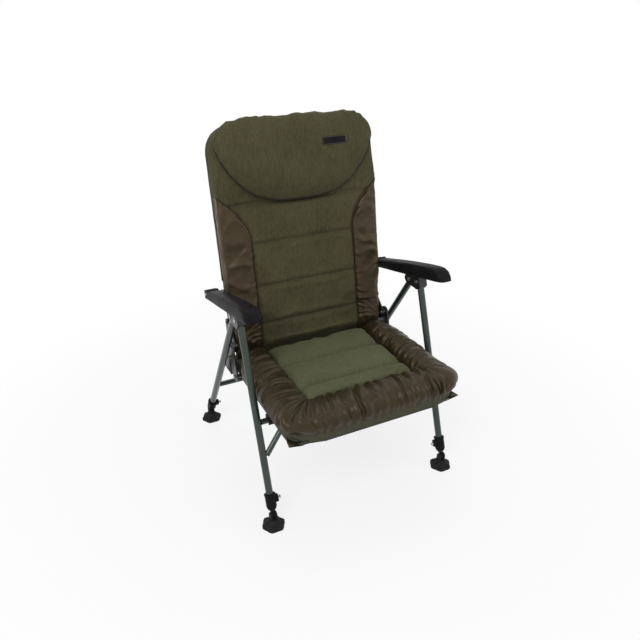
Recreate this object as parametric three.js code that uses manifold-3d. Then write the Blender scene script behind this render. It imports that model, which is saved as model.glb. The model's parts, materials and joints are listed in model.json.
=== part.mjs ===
// Reclining fishing chair: a padded seat and high back on tubular frames, carried by a front and a rear
// leg frame that meet under each armrest. Millimetres and degrees, +Z up, the sitter faces -Y.
import * as THREE from 'three';
import { mergeVertices } from 'three/addons/utils/BufferGeometryUtils.js';
import Module from 'manifold-3d';

const wasm = await Module();
wasm.setup();

// Driving dimensions: fits
const clearance = 0.3;
const overrun = 30;
const weld = 0.0001;

// Driving dimensions: leg frames
const leg = {
  sideGap: 6,
  tube: 20,
  wall: 1.5,
  innerTube: 16,
  innerWall: 1.4,
  innerReach: 200,
  frontPinY: -121,
  frontPinZ: 553,
  rearPinY: -82,
  rearPinZ: 548,
  frontJointY: -300,
  rearJointY: 255,
  jointZ: 38,
  topRun: 9,
  holePitch: 24,
  hole: 6,
};
const legHoles = 6;

const brace = {
  tube: 16,
  frontBarDrop: 282,
  bowGap: 4,
  bowFootDrop: 376,
  bowHalfTop: 205,
  bowBend: 45,
  rearBarDrop: 423,
};

const collar = {
  length: 44,
  radius: 14.6,
  lip: 1.2,
  lipHeight: 4,
  cap: 7,
  taper: 3,
  lift: 17.5,
  bossDepth: 7,
  bossWidth: 13,
  bossHeight: 20,
  pinLift: 27,
};

const lock = {
  radius: 2.5,
  tipGap: 0.4,
  headRadius: 5,
  headLength: 3.5,
  neck: 4,
};

const foot = {
  radius: 33,
  lobe: 1.8,
  rim: 6,
  shoulder: 17,
  shoulderRadius: 17,
  crown: 24,
  rib: 1.6,
  earRadius: 8.5,
  earThickness: 4.2,
  pinRadius: 3,
  eyeHalf: 5,
  eyeRadius: 8.5,
  flange: 8,
  flangeHeight: 3,
  flangeRise: 11.5,
  plugLength: 22,
};
const footLobes = 6;

// Driving dimensions: seat
const seat = {
  railX: 238,
  railZ: 306,
  tube: 20,
  frontY: -346,
  rearY: 114,
  bend: 22,
  rearBarY: 60,
};

const seatDeck = {
  thickness: 2.2,
  skirt: 16,
  rearY: 100,
  skirtRearY: -24,
};

const seatPad = {
  halfWidth: 264,
  rearHalfWidth: 243,
  frontHalfWidth: 214,
  chamferY: -326,
  narrowY: -70,
  frontY: -392,
  rearY: 20,
  panelHalf: 164,
  seamY1: -95,
  seamY2: -221,
  seamY3: -287,
  seamRise: 42,
  panelRise: 55,
  borderRise: 62,
  edgeRise: 40,
  edgeInset: 13,
  bulgeRise: 24,
  footInset: 12,
};

const clip = {
  halfWidth: 13,
  radius: 14,
  mouth: 12,
  saddleDrop: 6.5,
  corner: 2,
};

// Driving dimensions: hinge between seat and back
const hinge = {
  pivotY: 30,
  pivotZ: 392,
  plateX: 258,
  plate: 5,
  pin: 8,
  pinHead: 13,
  headThickness: 2.2,
  knuckleX: 248.4,
  knuckle: 4,
  knuckleLobe: 12,
  boss: 15,
  bossFrontY: 2,
  bossRearY: 103,
  boltHead: 11,
  pivotLobe: 18,
  axleLobe: 16,
  axleLobeBack: 20,
  axle: 10,
  axleDrop: 243,
  axleTipX: 257.4,
  slotMouthY: 32.5,
  slotMouth: 22,
  bottomZ: 290,
};

// Driving dimensions: back
const back = {
  lean: 10.5,
  railX: 238,
  tube: 20,
  railBack: 46,
  railFoot: -34,
  railTop: 600,
  bend: 60,
  lowBar: 60,
  armUp: 154.8,
};

const backDeck = {
  thickness: 2.4,
  halfWidth: 246,
  foot: -12,
  skirt: 13,
  skirtFoot: 186,
};

const backPad = {
  halfWidth: 251,
  footHalfWidth: 244,
  topHalfWidth: 236,
  narrowUp: 80,
  wideUp: 150,
  roundUp: 560,
  foot: -14,
  top: 622,
  rear: 32.9,
  panelHalf: 162,
  wingHalf: 234,
  headHalf: 190,
  seamUp1: 67,
  seamUp2: 182,
  seamUp3: 308,
  seamUp4: 394,
  wingUp: 424,
  seamRise: 31,
  panelRise: 44,
  borderRise: 45,
  headRise: 36,
  edgeRise: 28,
  edgeInset: 14,
  bulgeRise: 17,
  footInset: 10,
};

const pillow = {
  halfWidth: 240,
  endUp: 556,
  bottomUp: 398,
  topUp: 628,
  shoulderDrop: 18,
  rear: -3.4,
  crown: 38,
  edge: 9,
  edgeInset: 8,
};

// Driving dimensions: armrests
const arm = {
  outset: 2,
  slope: 12.4,
  length: 352,
  bottom: -14,
  channelFrom: 26,
  channelTo: 319,
  channelHalf: 13.6,
  channelTop: 8.3,
  forkHalf: 17.3,
  forkReach: 16,
  forkRoof: 5,
  heelReach: 13,
  heelEndTop: 3,
  heelTop: 10,
  heelHalf: 20.4,
  waistTop: 14,
  shoulderTop: 17.5,
  middleTop: 20,
  middleHalf: 22,
  frontTop: 22.4,
  frontHalf: 22.5,
  browTop: 20,
};

const armPin = {
  radius: 4,
  flange: 7,
  rootX: 240,
};

const block = {
  radius: 13,
  tail: 25,
  tailHalf: 9,
};

const rack = {
  halfWidth: 7,
  from: 189,
  to: 303,
  tip: -5.4,
  root: 1.6,
  pitch: 16,
};

const bracket = {
  inner: 10.5,
  sheet: 2.5,
  webReach: 12.5,
  webThickness: 3,
  webRise: 13,
  webDrop: 12,
  corner: 4,
  frontLobe: 14,
  frontLobeDrop: 9,
  rearLobe: 13,
  rearLobeBack: 9,
  rearLobeDrop: 1,
  pinLobe: 9,
  pinY: -99,
  pinZ: 570,
  pinRadius: 4,
  rivet: 8,
  rivetHead: 12,
  rivetCap: 2,
};

// The leg tubes stand clear of the seat pad's sides, and the armrests are centred over them
const legX = seatPad.halfWidth + leg.sideGap + leg.tube / 2;
const armX = legX + arm.outset;

// Facet counts
const tubeSides = 14;
const railSides = 12;
const pinSides = 12;
const bendSteps = 5;
const lobeSides = 24;

// Finishes
const tubeGreen = { color: 0x3d4a42, roughness: 0.42, metalness: 0.75 };
const steelGrey = { color: 0x9a9c98, roughness: 0.35, metalness: 0.9 };
const blackSteel = { color: 0x232425, roughness: 0.5, metalness: 0.5 };
const blackPlastic = { color: 0x2a282a, roughness: 0.45, metalness: 0.0 };
const rubber = { color: 0x262626, roughness: 0.75, metalness: 0.0 };
const fleece = { color: 0x54563a, roughness: 0.95, metalness: 0.0 };
const nylon = { color: 0x4a3c2e, roughness: 0.6, metalness: 0.0 };
const canvas = { color: 0x4f4b3e, roughness: 0.8, metalness: 0.0 };

const radians = THREE.MathUtils.degToRad;
const group = new THREE.Group();
const sides = [['left', -1], ['right', 1]];

// Solids from three.js geometry, and back
function toSolid(geometry) {
  const bare = new THREE.BufferGeometry();
  bare.setAttribute('position', geometry.getAttribute('position').clone());
  if (geometry.index) bare.setIndex(geometry.index.clone());
  const merged = mergeVertices(bare, weld);
  return new wasm.Manifold(new wasm.Mesh({
    numProp: 3,
    vertProperties: new Float32Array(merged.getAttribute('position').array),
    triVerts: new Uint32Array(merged.index.array),
  }));
}

function toGeometry(solid) {
  const mesh = solid.getMesh();
  const geometry = new THREE.BufferGeometry();
  geometry.setAttribute('position', new THREE.BufferAttribute(new Float32Array(mesh.vertProperties), 3));
  geometry.setIndex(new THREE.BufferAttribute(new Uint32Array(mesh.triVerts), 1));
  geometry.computeVertexNormals();
  return geometry;
}

function cut(base, ...tools) {
  return toGeometry(tools.reduce((solid, tool) => solid.subtract(toSolid(tool)), toSolid(base)));
}

function join(first, ...others) {
  return toGeometry(others.reduce((solid, other) => solid.add(toSolid(other)), toSolid(first)));
}

// Meshes: one piece, or a right piece with its mirror image on the left
function piece(parent, name, geometry, finish) {
  const mesh = new THREE.Mesh(geometry, new THREE.MeshStandardMaterial(finish));
  mesh.name = name;
  parent.add(mesh);
  return mesh;
}

function bothSides(parent, name, geometry, finish) {
  for (const [side, sign] of sides) piece(parent, `${name}_${side}`, geometry, finish).scale.x = sign;
}

// Basic forms
function at(x, y, z) {
  return new THREE.Vector3(x, y, z);
}

function disc(radius, count) {
  const corners = Array.from({ length: count }, (_, i) => {
    const turn = (2 * Math.PI * i) / count;
    return new THREE.Vector2(radius * Math.cos(turn), radius * Math.sin(turn));
  });
  return new THREE.Shape(corners);
}

// The corner radius of a bore whose facets all clear a round piece of this radius
function boreFor(size, count) {
  return (size + clearance) / Math.cos(Math.PI / count);
}

function aim(geometry, from, to) {
  const turn = new THREE.Quaternion().setFromUnitVectors(at(0, 0, 1), to.clone().sub(from).normalize());
  return geometry.applyQuaternion(turn).translate(from.x, from.y, from.z);
}

function rod(from, to, radius, count = pinSides) {
  const depth = from.distanceTo(to);
  return aim(new THREE.ExtrudeGeometry(disc(radius, count), { depth, bevelEnabled: false }), from, to);
}

function pipe(from, to, outer, inner, count = tubeSides) {
  const ring = disc(outer, count);
  ring.holes.push(disc(inner, count));
  const depth = from.distanceTo(to);
  return aim(new THREE.ExtrudeGeometry(ring, { depth, bevelEnabled: false }), from, to);
}

function box(low, high) {
  const size = high.clone().sub(low);
  const middle = low.clone().add(high).multiplyScalar(1 / 2);
  return new THREE.BoxGeometry(size.x, size.y, size.z).translate(middle.x, middle.y, middle.z);
}

// A plate outline in Y and Z, drawn tightly round lobes that are listed as [y, z, radius]
function wrap(lobes) {
  const points = lobes.flatMap(([y, z, size]) => disc(size, lobeSides).getPoints().map((p) => [p.x + y, p.y + z]));
  points.sort(([ay, az], [by, bz]) => ay - by || az - bz);
  const half = (list) => {
    const chain = [];
    for (const [y, z] of list) {
      while (chain.length > 1) {
        const [[py, pz], [qy, qz]] = chain.slice(-2);
        if ((qy - py) * (z - pz) - (qz - pz) * (y - py) > 0) break;
        chain.pop();
      }
      chain.push([y, z]);
    }
    return chain.slice(0, -1);
  };
  const outline = [...half(points), ...half([...points].reverse())];
  return new THREE.Shape(outline.map(([y, z]) => new THREE.Vector2(y, z)));
}

function plateAlongX(shape, fromX, toX, curveSegments = 3) {
  const flat = new THREE.ExtrudeGeometry(shape, { depth: toX - fromX, bevelEnabled: false, curveSegments });
  const axes = new THREE.Matrix4().makeBasis(at(0, 1, 0), at(0, 0, 1), at(1, 0, 0));
  return flat.applyMatrix4(axes).translate(fromX, 0, 0);
}

// A route of straight runs joined by round bends, with one station at each end of each straight run
class Rail extends THREE.Curve {
  constructor(corners, bend) {
    super();
    this.stations = corners.flatMap((corner, i) => {
      const into = corner.clone().sub(corners[Math.max(i - 1, 0)]).normalize();
      const out = corners[Math.min(i + 1, corners.length - 1)].clone().sub(corner).normalize();
      if (i === 0) return [{ point: corner, tangent: out }];
      if (i === corners.length - 1) return [{ point: corner, tangent: into }];
      const turn = into.angleTo(out);
      const across = out.clone().addScaledVector(into, -out.dot(into)).normalize();
      const start = corner.clone().addScaledVector(into, -bend * Math.tan(turn / 2));
      return Array.from({ length: bendSteps + 1 }, (_, k) => {
        const part = (turn * k) / bendSteps;
        const point = start.clone()
          .addScaledVector(into, bend * Math.sin(part))
          .addScaledVector(across, bend * (1 - Math.cos(part)));
        const tangent = into.clone().multiplyScalar(Math.cos(part)).addScaledVector(across, Math.sin(part));
        return { point, tangent };
      });
    });
  }

  station(t) {
    return this.stations[Math.round(t * (this.stations.length - 1))];
  }

  getPoint(t) {
    return this.station(t).point.clone();
  }

  getTangent(t) {
    return this.station(t).tangent.clone();
  }

  getUtoTmapping(u) {
    return u;
  }
}

function bentRod(corners, bend, size, extra) {
  const stretch = (end, next) => end.clone().add(end.clone().sub(next).setLength(extra));
  const ends = [stretch(corners[0], corners[1]), stretch(corners.at(-1), corners.at(-2))];
  const rail = new Rail(extra > 0 ? [ends[0], ...corners.slice(1, -1), ends[1]] : corners, bend);
  const steps = rail.stations.length - 1;
  return new THREE.ExtrudeGeometry(disc(size, railSides), { extrudePath: rail, steps, bevelEnabled: false });
}

// A hollow frame: one bent tube with one straight tube welded across it, their bores cut in one go
function tubeFrame(corners, bend, size, from, to) {
  const barSize = size - leg.wall;
  const outside = join(bentRod(corners, bend, size, 0), rod(from, to, barSize, railSides));
  return cut(
    outside,
    bentRod(corners, bend, size - leg.wall, overrun),
    rod(from, to, barSize - leg.wall, railSides),
  );
}

// A closed skin over stacked rings of equally many points, closed at both ends by a fan
function skin(rings) {
  const count = rings[0].length;
  const points = rings.flat();
  const faces = [];
  for (let r = 0; r < rings.length - 1; r += 1) {
    for (let i = 0; i < count; i += 1) {
      const a = r * count + i;
      const b = r * count + ((i + 1) % count);
      faces.push(a, b, b + count, a, b + count, a + count);
    }
  }
  for (const [ring, flip] of [[0, true], [rings.length - 1, false]]) {
    const middle = points.length;
    const centre = at(0, 0, 0);
    rings[ring].forEach((point) => centre.addScaledVector(point, 1 / count));
    points.push(centre);
    for (let i = 0; i < count; i += 1) {
      const a = ring * count + i;
      const b = ring * count + ((i + 1) % count);
      faces.push(...(flip ? [b, a, middle] : [a, b, middle]));
    }
  }
  const geometry = new THREE.BufferGeometry().setFromPoints(points);
  geometry.setIndex(faces);
  geometry.computeVertexNormals();
  return geometry;
}

// A cushion: a quilted top of rows and columns, sides that bulge and draw in, and a flat base.
// place(row, column, inset) gives the plan position, rise(row, column) the height of the top.
function cushion({ rows, columns, place, rise, base, up, sideShares, edgeInset, edgeRise, footInset, bulgeRise }) {
  const points = [];
  const faces = [];
  const lift = (plan, height) => up(plan, base + height);
  rows.forEach((row, i) => columns.forEach((column, j) => {
    const edge = i === 0 || j === 0 || i === rows.length - 1 || j === columns.length - 1;
    points.push(lift(place(row, column, edgeInset), edge ? edgeRise : rise(row, column)));
  }));
  const wide = columns.length;
  const tall = rows.length;
  for (let i = 0; i < tall - 1; i += 1) {
    for (let j = 0; j < wide - 1; j += 1) {
      const a = i * wide + j;
      faces.push(a, a + 1, a + wide + 1, a, a + wide + 1, a + wide);
    }
  }
  const border = [];
  for (let j = 0; j < wide - 1; j += 1) border.push([0, j]);
  for (let i = 0; i < tall - 1; i += 1) border.push([i, wide - 1]);
  for (let j = wide - 1; j > 0; j -= 1) border.push([tall - 1, j]);
  for (let i = tall - 1; i > 0; i -= 1) border.push([i, 0]);
  let above = border.map(([i, j]) => i * wide + j);
  const drawn = [[0, bulgeRise], [footInset * sideShares[0], bulgeRise * sideShares[1]], [footInset, 0]];
  for (const [inset, height] of drawn) {
    const below = border.map(([i, j]) => {
      points.push(lift(place(rows[i], columns[j], inset), height));
      return points.length - 1;
    });
    above.forEach((a, k) => {
      const next = (k + 1) % above.length;
      faces.push(above[next], a, below[k], above[next], below[k], below[next]);
    });
    above = below;
  }
  const centre = at(0, 0, 0);
  above.forEach((index) => centre.addScaledVector(points[index], 1 / above.length));
  points.push(centre);
  above.forEach((a, k) => faces.push(above[(k + 1) % above.length], a, points.length - 1));
  const geometry = new THREE.BufferGeometry().setFromPoints(points);
  geometry.setIndex(faces);
  geometry.computeVertexNormals();
  return geometry;
}

// Rises like a stuffed channel: steep by its seams and nearly flat between them
const fullness = 0.55;
function stuffed(share) {
  return Math.pow(Math.sin(Math.PI * THREE.MathUtils.clamp(share, 0, 1)), fullness);
}

// Places on the leg frames, in a frame that hangs from the top pin with -Z running down the leg
const frontReach = at(0, leg.frontJointY - leg.frontPinY, leg.jointZ - leg.frontPinZ);
const rearReach = at(0, leg.rearJointY - leg.rearPinY, leg.jointZ - leg.rearPinZ);
const frontLean = Math.atan2(frontReach.y, -frontReach.z);
const rearLean = Math.atan2(rearReach.y, -rearReach.z);
const radius = leg.tube / 2;
const bore = radius - leg.wall;
const barRadius = brace.tube / 2;

function legFrame(pinY, pinZ, lean) {
  const frame = new THREE.Group();
  frame.position.set(0, pinY, pinZ);
  frame.rotation.x = lean;
  group.add(frame);
  return frame;
}

const frontFrame = legFrame(leg.frontPinY, leg.frontPinZ, frontLean);
const rearFrame = legFrame(leg.rearPinY, leg.rearPinZ, rearLean);

function down(lean, pinY, pinZ, drop) {
  return at(0, pinY + Math.sin(lean) * drop, pinZ - Math.cos(lean) * drop);
}

const barCentre = down(frontLean, leg.frontPinY, leg.frontPinZ, brace.frontBarDrop);
const axleCentre = down(rearLean, leg.rearPinY, leg.rearPinZ, hinge.axleDrop);

// Telescopic leg: outer tube, inner tube with its row of holes, collar, lock pin and swivelling foot
function lockDrop(length) {
  return length - collar.lift - collar.pinLift;
}

function outerLeg(length, crossHoles) {
  const tube = pipe(at(legX, 0, leg.topRun), at(legX, 0, collar.cap + collar.lift - length), radius, bore);
  const z = -lockDrop(length);
  const pinHole = rod(at(legX, 0, z), at(legX - overrun, 0, z), boreFor(lock.radius, pinSides));
  return cut(tube, pinHole, ...crossHoles);
}

function throughHole(drop, size) {
  return rod(at(legX - overrun, 0, -drop), at(legX + overrun, 0, -drop), boreFor(size / 2, pinSides));
}

function innerLeg(length) {
  const outer = leg.innerTube / 2;
  const bottom = foot.flangeRise + foot.flangeHeight + clearance - length;
  const tube = pipe(at(legX, 0, bottom + leg.innerReach), at(legX, 0, bottom), outer, outer - leg.innerWall);
  const holes = Array.from({ length: legHoles }, (_, i) => {
    const z = leg.holePitch * i - lockDrop(length);
    return rod(at(legX, 0, z), at(legX - overrun, 0, z), leg.hole / 2, pinSides / 2);
  });
  return cut(tube, ...holes);
}

function collarShape(length) {
  const bottom = collar.lift - length;
  const top = bottom + collar.length;
  const boreRadius = boreFor(radius, tubeSides);
  const capBore = boreFor(leg.innerTube / 2, tubeSides);
  const profile = [
    [capBore, bottom],
    [collar.radius - collar.taper, bottom],
    [collar.radius, bottom + collar.cap],
    [collar.radius, top - collar.lipHeight],
    [collar.radius + collar.lip, top - collar.lipHeight],
    [collar.radius + collar.lip, top],
    [boreRadius, top],
    [boreRadius, bottom + collar.cap - clearance],
    [capBore, bottom + collar.cap - clearance],
    [capBore, bottom],
  ].map(([r, z]) => new THREE.Vector2(r, z));
  const shell = new THREE.LatheGeometry(profile, tubeSides).rotateX(Math.PI / 2).translate(legX, 0, 0);
  const bossX = legX - collar.radius - collar.bossDepth;
  const bossZ = -lockDrop(length);
  const boss = box(
    at(bossX, -collar.bossWidth / 2, bossZ - collar.bossHeight / 2),
    at(legX - radius - leg.wall, collar.bossWidth / 2, bossZ + collar.bossHeight / 2),
  );
  const hole = rod(at(legX, 0, bossZ), at(bossX - overrun, 0, bossZ), boreFor(lock.radius, pinSides));
  const tubeSpace = rod(at(legX, 0, bottom + collar.cap - clearance), at(legX, 0, top + overrun), boreRadius, tubeSides);
  const bossSolid = toSolid(boss).subtract(toSolid(tubeSpace));
  return toGeometry(toSolid(shell).add(bossSolid).subtract(toSolid(hole)));
}

function lockPin(length) {
  const z = -lockDrop(length);
  const tip = legX - leg.innerTube / 2 - lock.tipGap;
  const face = legX - collar.radius - collar.bossDepth - lock.neck;
  const shaft = rod(at(tip, 0, z), at(face, 0, z), lock.radius);
  const head = rod(at(face + weld, 0, z), at(face - lock.headLength, 0, z), lock.headRadius);
  return join(shaft, head);
}

function knuckle(length) {
  const z = -length;
  const plugRadius = (leg.innerTube / 2 - leg.innerWall) * Math.cos(Math.PI / tubeSides) - clearance;
  const flangeTop = z + foot.flangeRise + foot.flangeHeight;
  const plug = rod(at(legX, 0, flangeTop - foot.flangeHeight / 2), at(legX, 0, flangeTop + foot.plugLength), plugRadius);
  const flange = rod(at(legX, 0, z + foot.flangeRise), at(legX, 0, flangeTop), foot.flange);
  const eye = rod(at(legX - foot.eyeHalf, 0, z), at(legX + foot.eyeHalf, 0, z), foot.eyeRadius, tubeSides);
  const neck = box(
    at(legX - foot.eyeHalf, -foot.pinRadius, z + foot.pinRadius),
    at(legX + foot.eyeHalf, foot.pinRadius, z + foot.flangeRise + foot.flangeHeight / 2),
  );
  const hole = rod(at(legX - overrun, 0, z), at(legX + overrun, 0, z), boreFor(foot.pinRadius, pinSides));
  return cut(join(plug, flange, eye, neck), hole);
}

function footPad() {
  const ring = (reach, height, ribbed) => Array.from({ length: lobeSides }, (_, i) => {
    const turn = (2 * Math.PI * i) / lobeSides;
    const wave = Math.cos(footLobes * turn);
    const r = reach + (ribbed ? foot.lobe * wave : 0);
    const z = height + (ribbed && height > 0 ? foot.rib * wave : 0) - leg.jointZ;
    return at(r * Math.cos(turn), r * Math.sin(turn), z);
  });
  const rimReach = foot.radius - foot.lobe;
  const dome = skin([
    ring(rimReach, 0, true),
    ring(rimReach, foot.rim - foot.rib, true),
    ring((rimReach + foot.shoulderRadius) / 2, (foot.rim + foot.shoulder) / 2, true),
    ring(foot.shoulderRadius, foot.shoulder, false),
    ring(foot.eyeRadius + foot.earThickness, foot.crown, false),
  ]);
  const inner = foot.eyeHalf + clearance;
  const outer = inner + foot.earThickness;
  const ears = [-1, 1].flatMap((side) => {
    const low = Math.min(side * inner, side * outer);
    const high = Math.max(side * inner, side * outer);
    return [
      rod(at(low, 0, 0), at(high, 0, 0), foot.earRadius, tubeSides),
      box(at(low, -foot.earRadius, foot.rim - leg.jointZ), at(high, foot.earRadius, 0)),
    ];
  });
  const pin = rod(at(-outer, 0, 0), at(outer, 0, 0), foot.pinRadius);
  const well = rod(at(-inner, 0, 0), at(inner, 0, 0), boreFor(foot.eyeRadius, tubeSides), tubeSides);
  return join(cut(dome, well), ...ears, pin);
}

function telescopicLegs(end, frame, length, crossHoles) {
  bothSides(frame, `${end}_leg`, outerLeg(length, crossHoles), tubeGreen);
  bothSides(frame, `${end}_inner_leg`, innerLeg(length), tubeGreen);
  bothSides(frame, `${end}_collar`, collarShape(length), blackPlastic);
  bothSides(frame, `${end}_lock_pin`, lockPin(length), steelGrey);
  bothSides(frame, `${end}_foot_knuckle`, knuckle(length), blackPlastic);
}

const frontLength = frontReach.length();
const rearLength = rearReach.length();
telescopicLegs('front', frontFrame, frontLength, [throughHole(0, bracket.rivet)]);
const axleHole = rod(
  at(hinge.axleTipX - overrun, 0, -hinge.axleDrop),
  at(legX + barRadius / 2, 0, -hinge.axleDrop),
  boreFor(hinge.axle / 2, pinSides),
);
telescopicLegs('rear', rearFrame, rearLength, [throughHole(0, bracket.rivet), axleHole]);

for (const [end, y] of [['front', leg.frontJointY], ['rear', leg.rearJointY]]) {
  for (const [side, sign] of sides) {
    piece(group, `${end}_foot_${side}`, footPad(), rubber).position.set(sign * legX, y, leg.jointZ);
  }
}

// Braces between the legs: a straight bar and a bowed bar in front, a straight bar at the rear
const barHalf = legX - radius - clearance;
function crossbar(drop) {
  return pipe(at(-barHalf, 0, -drop), at(barHalf, 0, -drop), barRadius, barRadius - leg.wall, railSides);
}
piece(frontFrame, 'front_crossbar', crossbar(brace.frontBarDrop), tubeGreen);
const bowTopZ = -(brace.frontBarDrop + brace.tube + brace.bowGap);
const bowCorners = [
  at(-barHalf, 0, -brace.bowFootDrop),
  at(-brace.bowHalfTop, 0, bowTopZ),
  at(brace.bowHalfTop, 0, bowTopZ),
  at(barHalf, 0, -brace.bowFootDrop),
];
const bowBore = bentRod(bowCorners, brace.bowBend, barRadius - leg.wall, overrun);
const legSpace = [-1, 1].map((sign) => rod(
  at(sign * legX, 0, 0),
  at(sign * legX, 0, -frontLength),
  boreFor(radius, tubeSides),
  tubeSides,
));
const bowSolid = bentRod(bowCorners, brace.bowBend, barRadius, 0);
piece(frontFrame, 'front_bow', cut(bowSolid, bowBore, ...legSpace), tubeGreen);
piece(rearFrame, 'rear_crossbar', crossbar(brace.rearBarDrop), tubeGreen);
const axle = rod(
  at(hinge.axleTipX, 0, -hinge.axleDrop),
  at(legX + barRadius / 2 - clearance, 0, -hinge.axleDrop),
  hinge.axle / 2,
);
bothSides(rearFrame, 'rear_axle', axle, steelGrey);

// Bracket that joins the two legs under the armrest, with the pin that the rack rests on
const cheek = bracket.inner + bracket.sheet;
const webFace = bracket.webReach + bracket.webThickness - bracket.corner;
const webLobes = [bracket.webRise, -bracket.webDrop].map((z) => {
  const corner = at(0, -webFace, z).applyAxisAngle(at(1, 0, 0), frontLean);
  return [leg.frontPinY + corner.y, leg.frontPinZ + corner.z, bracket.corner];
});
const bracketLobes = [
  ...webLobes,
  [leg.frontPinY, leg.frontPinZ - bracket.frontLobeDrop, bracket.frontLobe],
  [leg.rearPinY + bracket.rearLobeBack, leg.rearPinZ - bracket.rearLobeDrop, bracket.rearLobe],
  [bracket.pinY, bracket.pinZ, bracket.pinLobe],
];
const bracketBlank = plateAlongX(wrap(bracketLobes), legX - cheek, legX + cheek);
const bracketInside = box(
  at(legX - bracket.inner, -bracket.webReach, -overrun * 3),
  at(legX + bracket.inner, overrun * 4, overrun * 3),
).rotateX(frontLean).translate(0, leg.frontPinY, leg.frontPinZ);
function acrossBracket(y, z, size) {
  return rod(at(legX - overrun, y, z), at(legX + overrun, y, z), boreFor(size / 2, pinSides));
}
const bracketShape = cut(
  bracketBlank,
  bracketInside,
  acrossBracket(leg.frontPinY, leg.frontPinZ, bracket.rivet),
  acrossBracket(leg.rearPinY, leg.rearPinZ, bracket.rivet),
  acrossBracket(bracket.pinY, bracket.pinZ, bracket.pinRadius * 2),
);
bothSides(group, 'arm_bracket', bracketShape, blackSteel);

function rivet(y, z) {
  const reach = cheek + clearance;
  const shank = rod(
    at(legX - reach - bracket.rivetCap / 2, y, z),
    at(legX + reach + bracket.rivetCap / 2, y, z),
    bracket.rivet / 2,
  );
  const heads = [-1, 1].map((sign) => rod(
    at(legX + sign * reach, y, z),
    at(legX + sign * (reach + bracket.rivetCap), y, z),
    bracket.rivetHead / 2,
  ));
  return join(shank, ...heads);
}
bothSides(group, 'front_leg_rivet', rivet(leg.frontPinY, leg.frontPinZ), steelGrey);
bothSides(group, 'rear_leg_rivet', rivet(leg.rearPinY, leg.rearPinZ), steelGrey);
const restPin = rod(
  at(legX - cheek, bracket.pinY, bracket.pinZ),
  at(legX + cheek, bracket.pinY, bracket.pinZ),
  bracket.pinRadius,
);
bothSides(group, 'rack_pin', restPin, steelGrey);

// Seat frame, its sling deck and the two snap clips that turn on the front crossbar
const seatRadius = seat.tube / 2;
const seatCorners = [
  at(-seat.railX, seat.rearY, seat.railZ),
  at(-seat.railX, seat.frontY, seat.railZ),
  at(seat.railX, seat.frontY, seat.railZ),
  at(seat.railX, seat.rearY, seat.railZ),
];
const seatTubes = tubeFrame(
  seatCorners,
  seat.bend,
  seatRadius,
  at(-seat.railX, seat.rearBarY, seat.railZ),
  at(seat.railX, seat.rearBarY, seat.railZ),
);
piece(group, 'seat_frame', seatTubes, tubeGreen);

const deckLow = seat.railZ + seatRadius + clearance;
const deckHigh = deckLow + seatDeck.thickness;
const deckInner = seat.railX + seatRadius + clearance;
const deckOuter = deckInner + seatDeck.thickness;
const deckFront = seat.frontY - seatRadius - clearance - seatDeck.thickness;
const deckShell = box(at(-deckOuter, deckFront, deckHigh - seatDeck.skirt), at(deckOuter, seatDeck.skirtRearY, deckHigh));
const deckRoom = box(
  at(-deckInner, deckFront + seatDeck.thickness, deckLow - overrun),
  at(deckInner, seatDeck.skirtRearY + overrun, deckLow),
);
const deckTail = box(
  at(-seat.railX - seatRadius / 2, seatDeck.skirtRearY - seatDeck.thickness, deckLow),
  at(seat.railX + seatRadius / 2, seatDeck.rearY, deckHigh),
);
piece(group, 'seat_deck', join(cut(deckShell, deckRoom), deckTail), canvas);

const clipTop = seat.railZ - clip.saddleDrop - clip.corner;
const clipSide = clip.radius - clip.corner;
const clipBlank = plateAlongX(wrap([
  [barCentre.y, barCentre.z, clip.radius],
  [barCentre.y + clipSide, clipTop, clip.corner],
  [barCentre.y - clipSide, clipTop, clip.corner],
]), seat.railX - clip.halfWidth, seat.railX + clip.halfWidth);
const clipShape = cut(
  clipBlank,
  rod(
    at(0, barCentre.y, barCentre.z),
    at(legX, barCentre.y, barCentre.z),
    boreFor(barRadius, railSides),
    railSides,
  ),
  rod(
    at(seat.railX, barCentre.y - overrun, seat.railZ),
    at(seat.railX, barCentre.y + overrun, seat.railZ),
    boreFor(seatRadius, railSides),
    railSides,
  ),
  box(
    at(0, barCentre.y - clip.mouth / 2, barCentre.z - overrun),
    at(legX, barCentre.y + clip.mouth / 2, barCentre.z),
  ),
);
bothSides(group, 'crossbar_clip', clipShape, blackPlastic);

// Hinge plate: carries the back pivot and hooks over the rear leg axle by a mouth that opens downwards
const plateOuter = hinge.plateX + hinge.plate;
const plateLow = hinge.bottomZ + hinge.boss;
const plateBlank = plateAlongX(wrap([
  [hinge.bossFrontY, plateLow, hinge.boss],
  [hinge.bossRearY, plateLow, hinge.boss],
  [axleCentre.y + hinge.axleLobeBack, axleCentre.z, hinge.axleLobe],
  [hinge.pivotY, hinge.pivotZ, hinge.pivotLobe],
]), hinge.plateX, plateOuter);
const slotHalf = hinge.axle / 2 + clearance * 2;
const slotShape = new THREE.Shape();
const slotFoot = hinge.bottomZ - clearance;
slotShape.moveTo(hinge.slotMouthY - hinge.slotMouth / 2, slotFoot);
slotShape.lineTo(hinge.slotMouthY + hinge.slotMouth / 2, slotFoot);
slotShape.lineTo(axleCentre.y + slotHalf, axleCentre.z);
slotShape.absarc(axleCentre.y, axleCentre.z, slotHalf, 0, Math.PI, false);
slotShape.closePath();
const hingeSlot = plateAlongX(slotShape, hinge.plateX - clearance, plateOuter + clearance, 4);
const bossInner = seat.railX + seatRadius + clearance;
const plateBosses = [hinge.bossFrontY, hinge.bossRearY].flatMap((y) => [
  rod(at(bossInner, y, seat.railZ), at(hinge.plateX + hinge.plate / 2, y, seat.railZ), hinge.boltHead / 2),
  rod(at(hinge.plateX + hinge.plate / 2, y, seat.railZ), at(plateOuter + hinge.headThickness, y, seat.railZ), hinge.boltHead / 2),
]);
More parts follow.
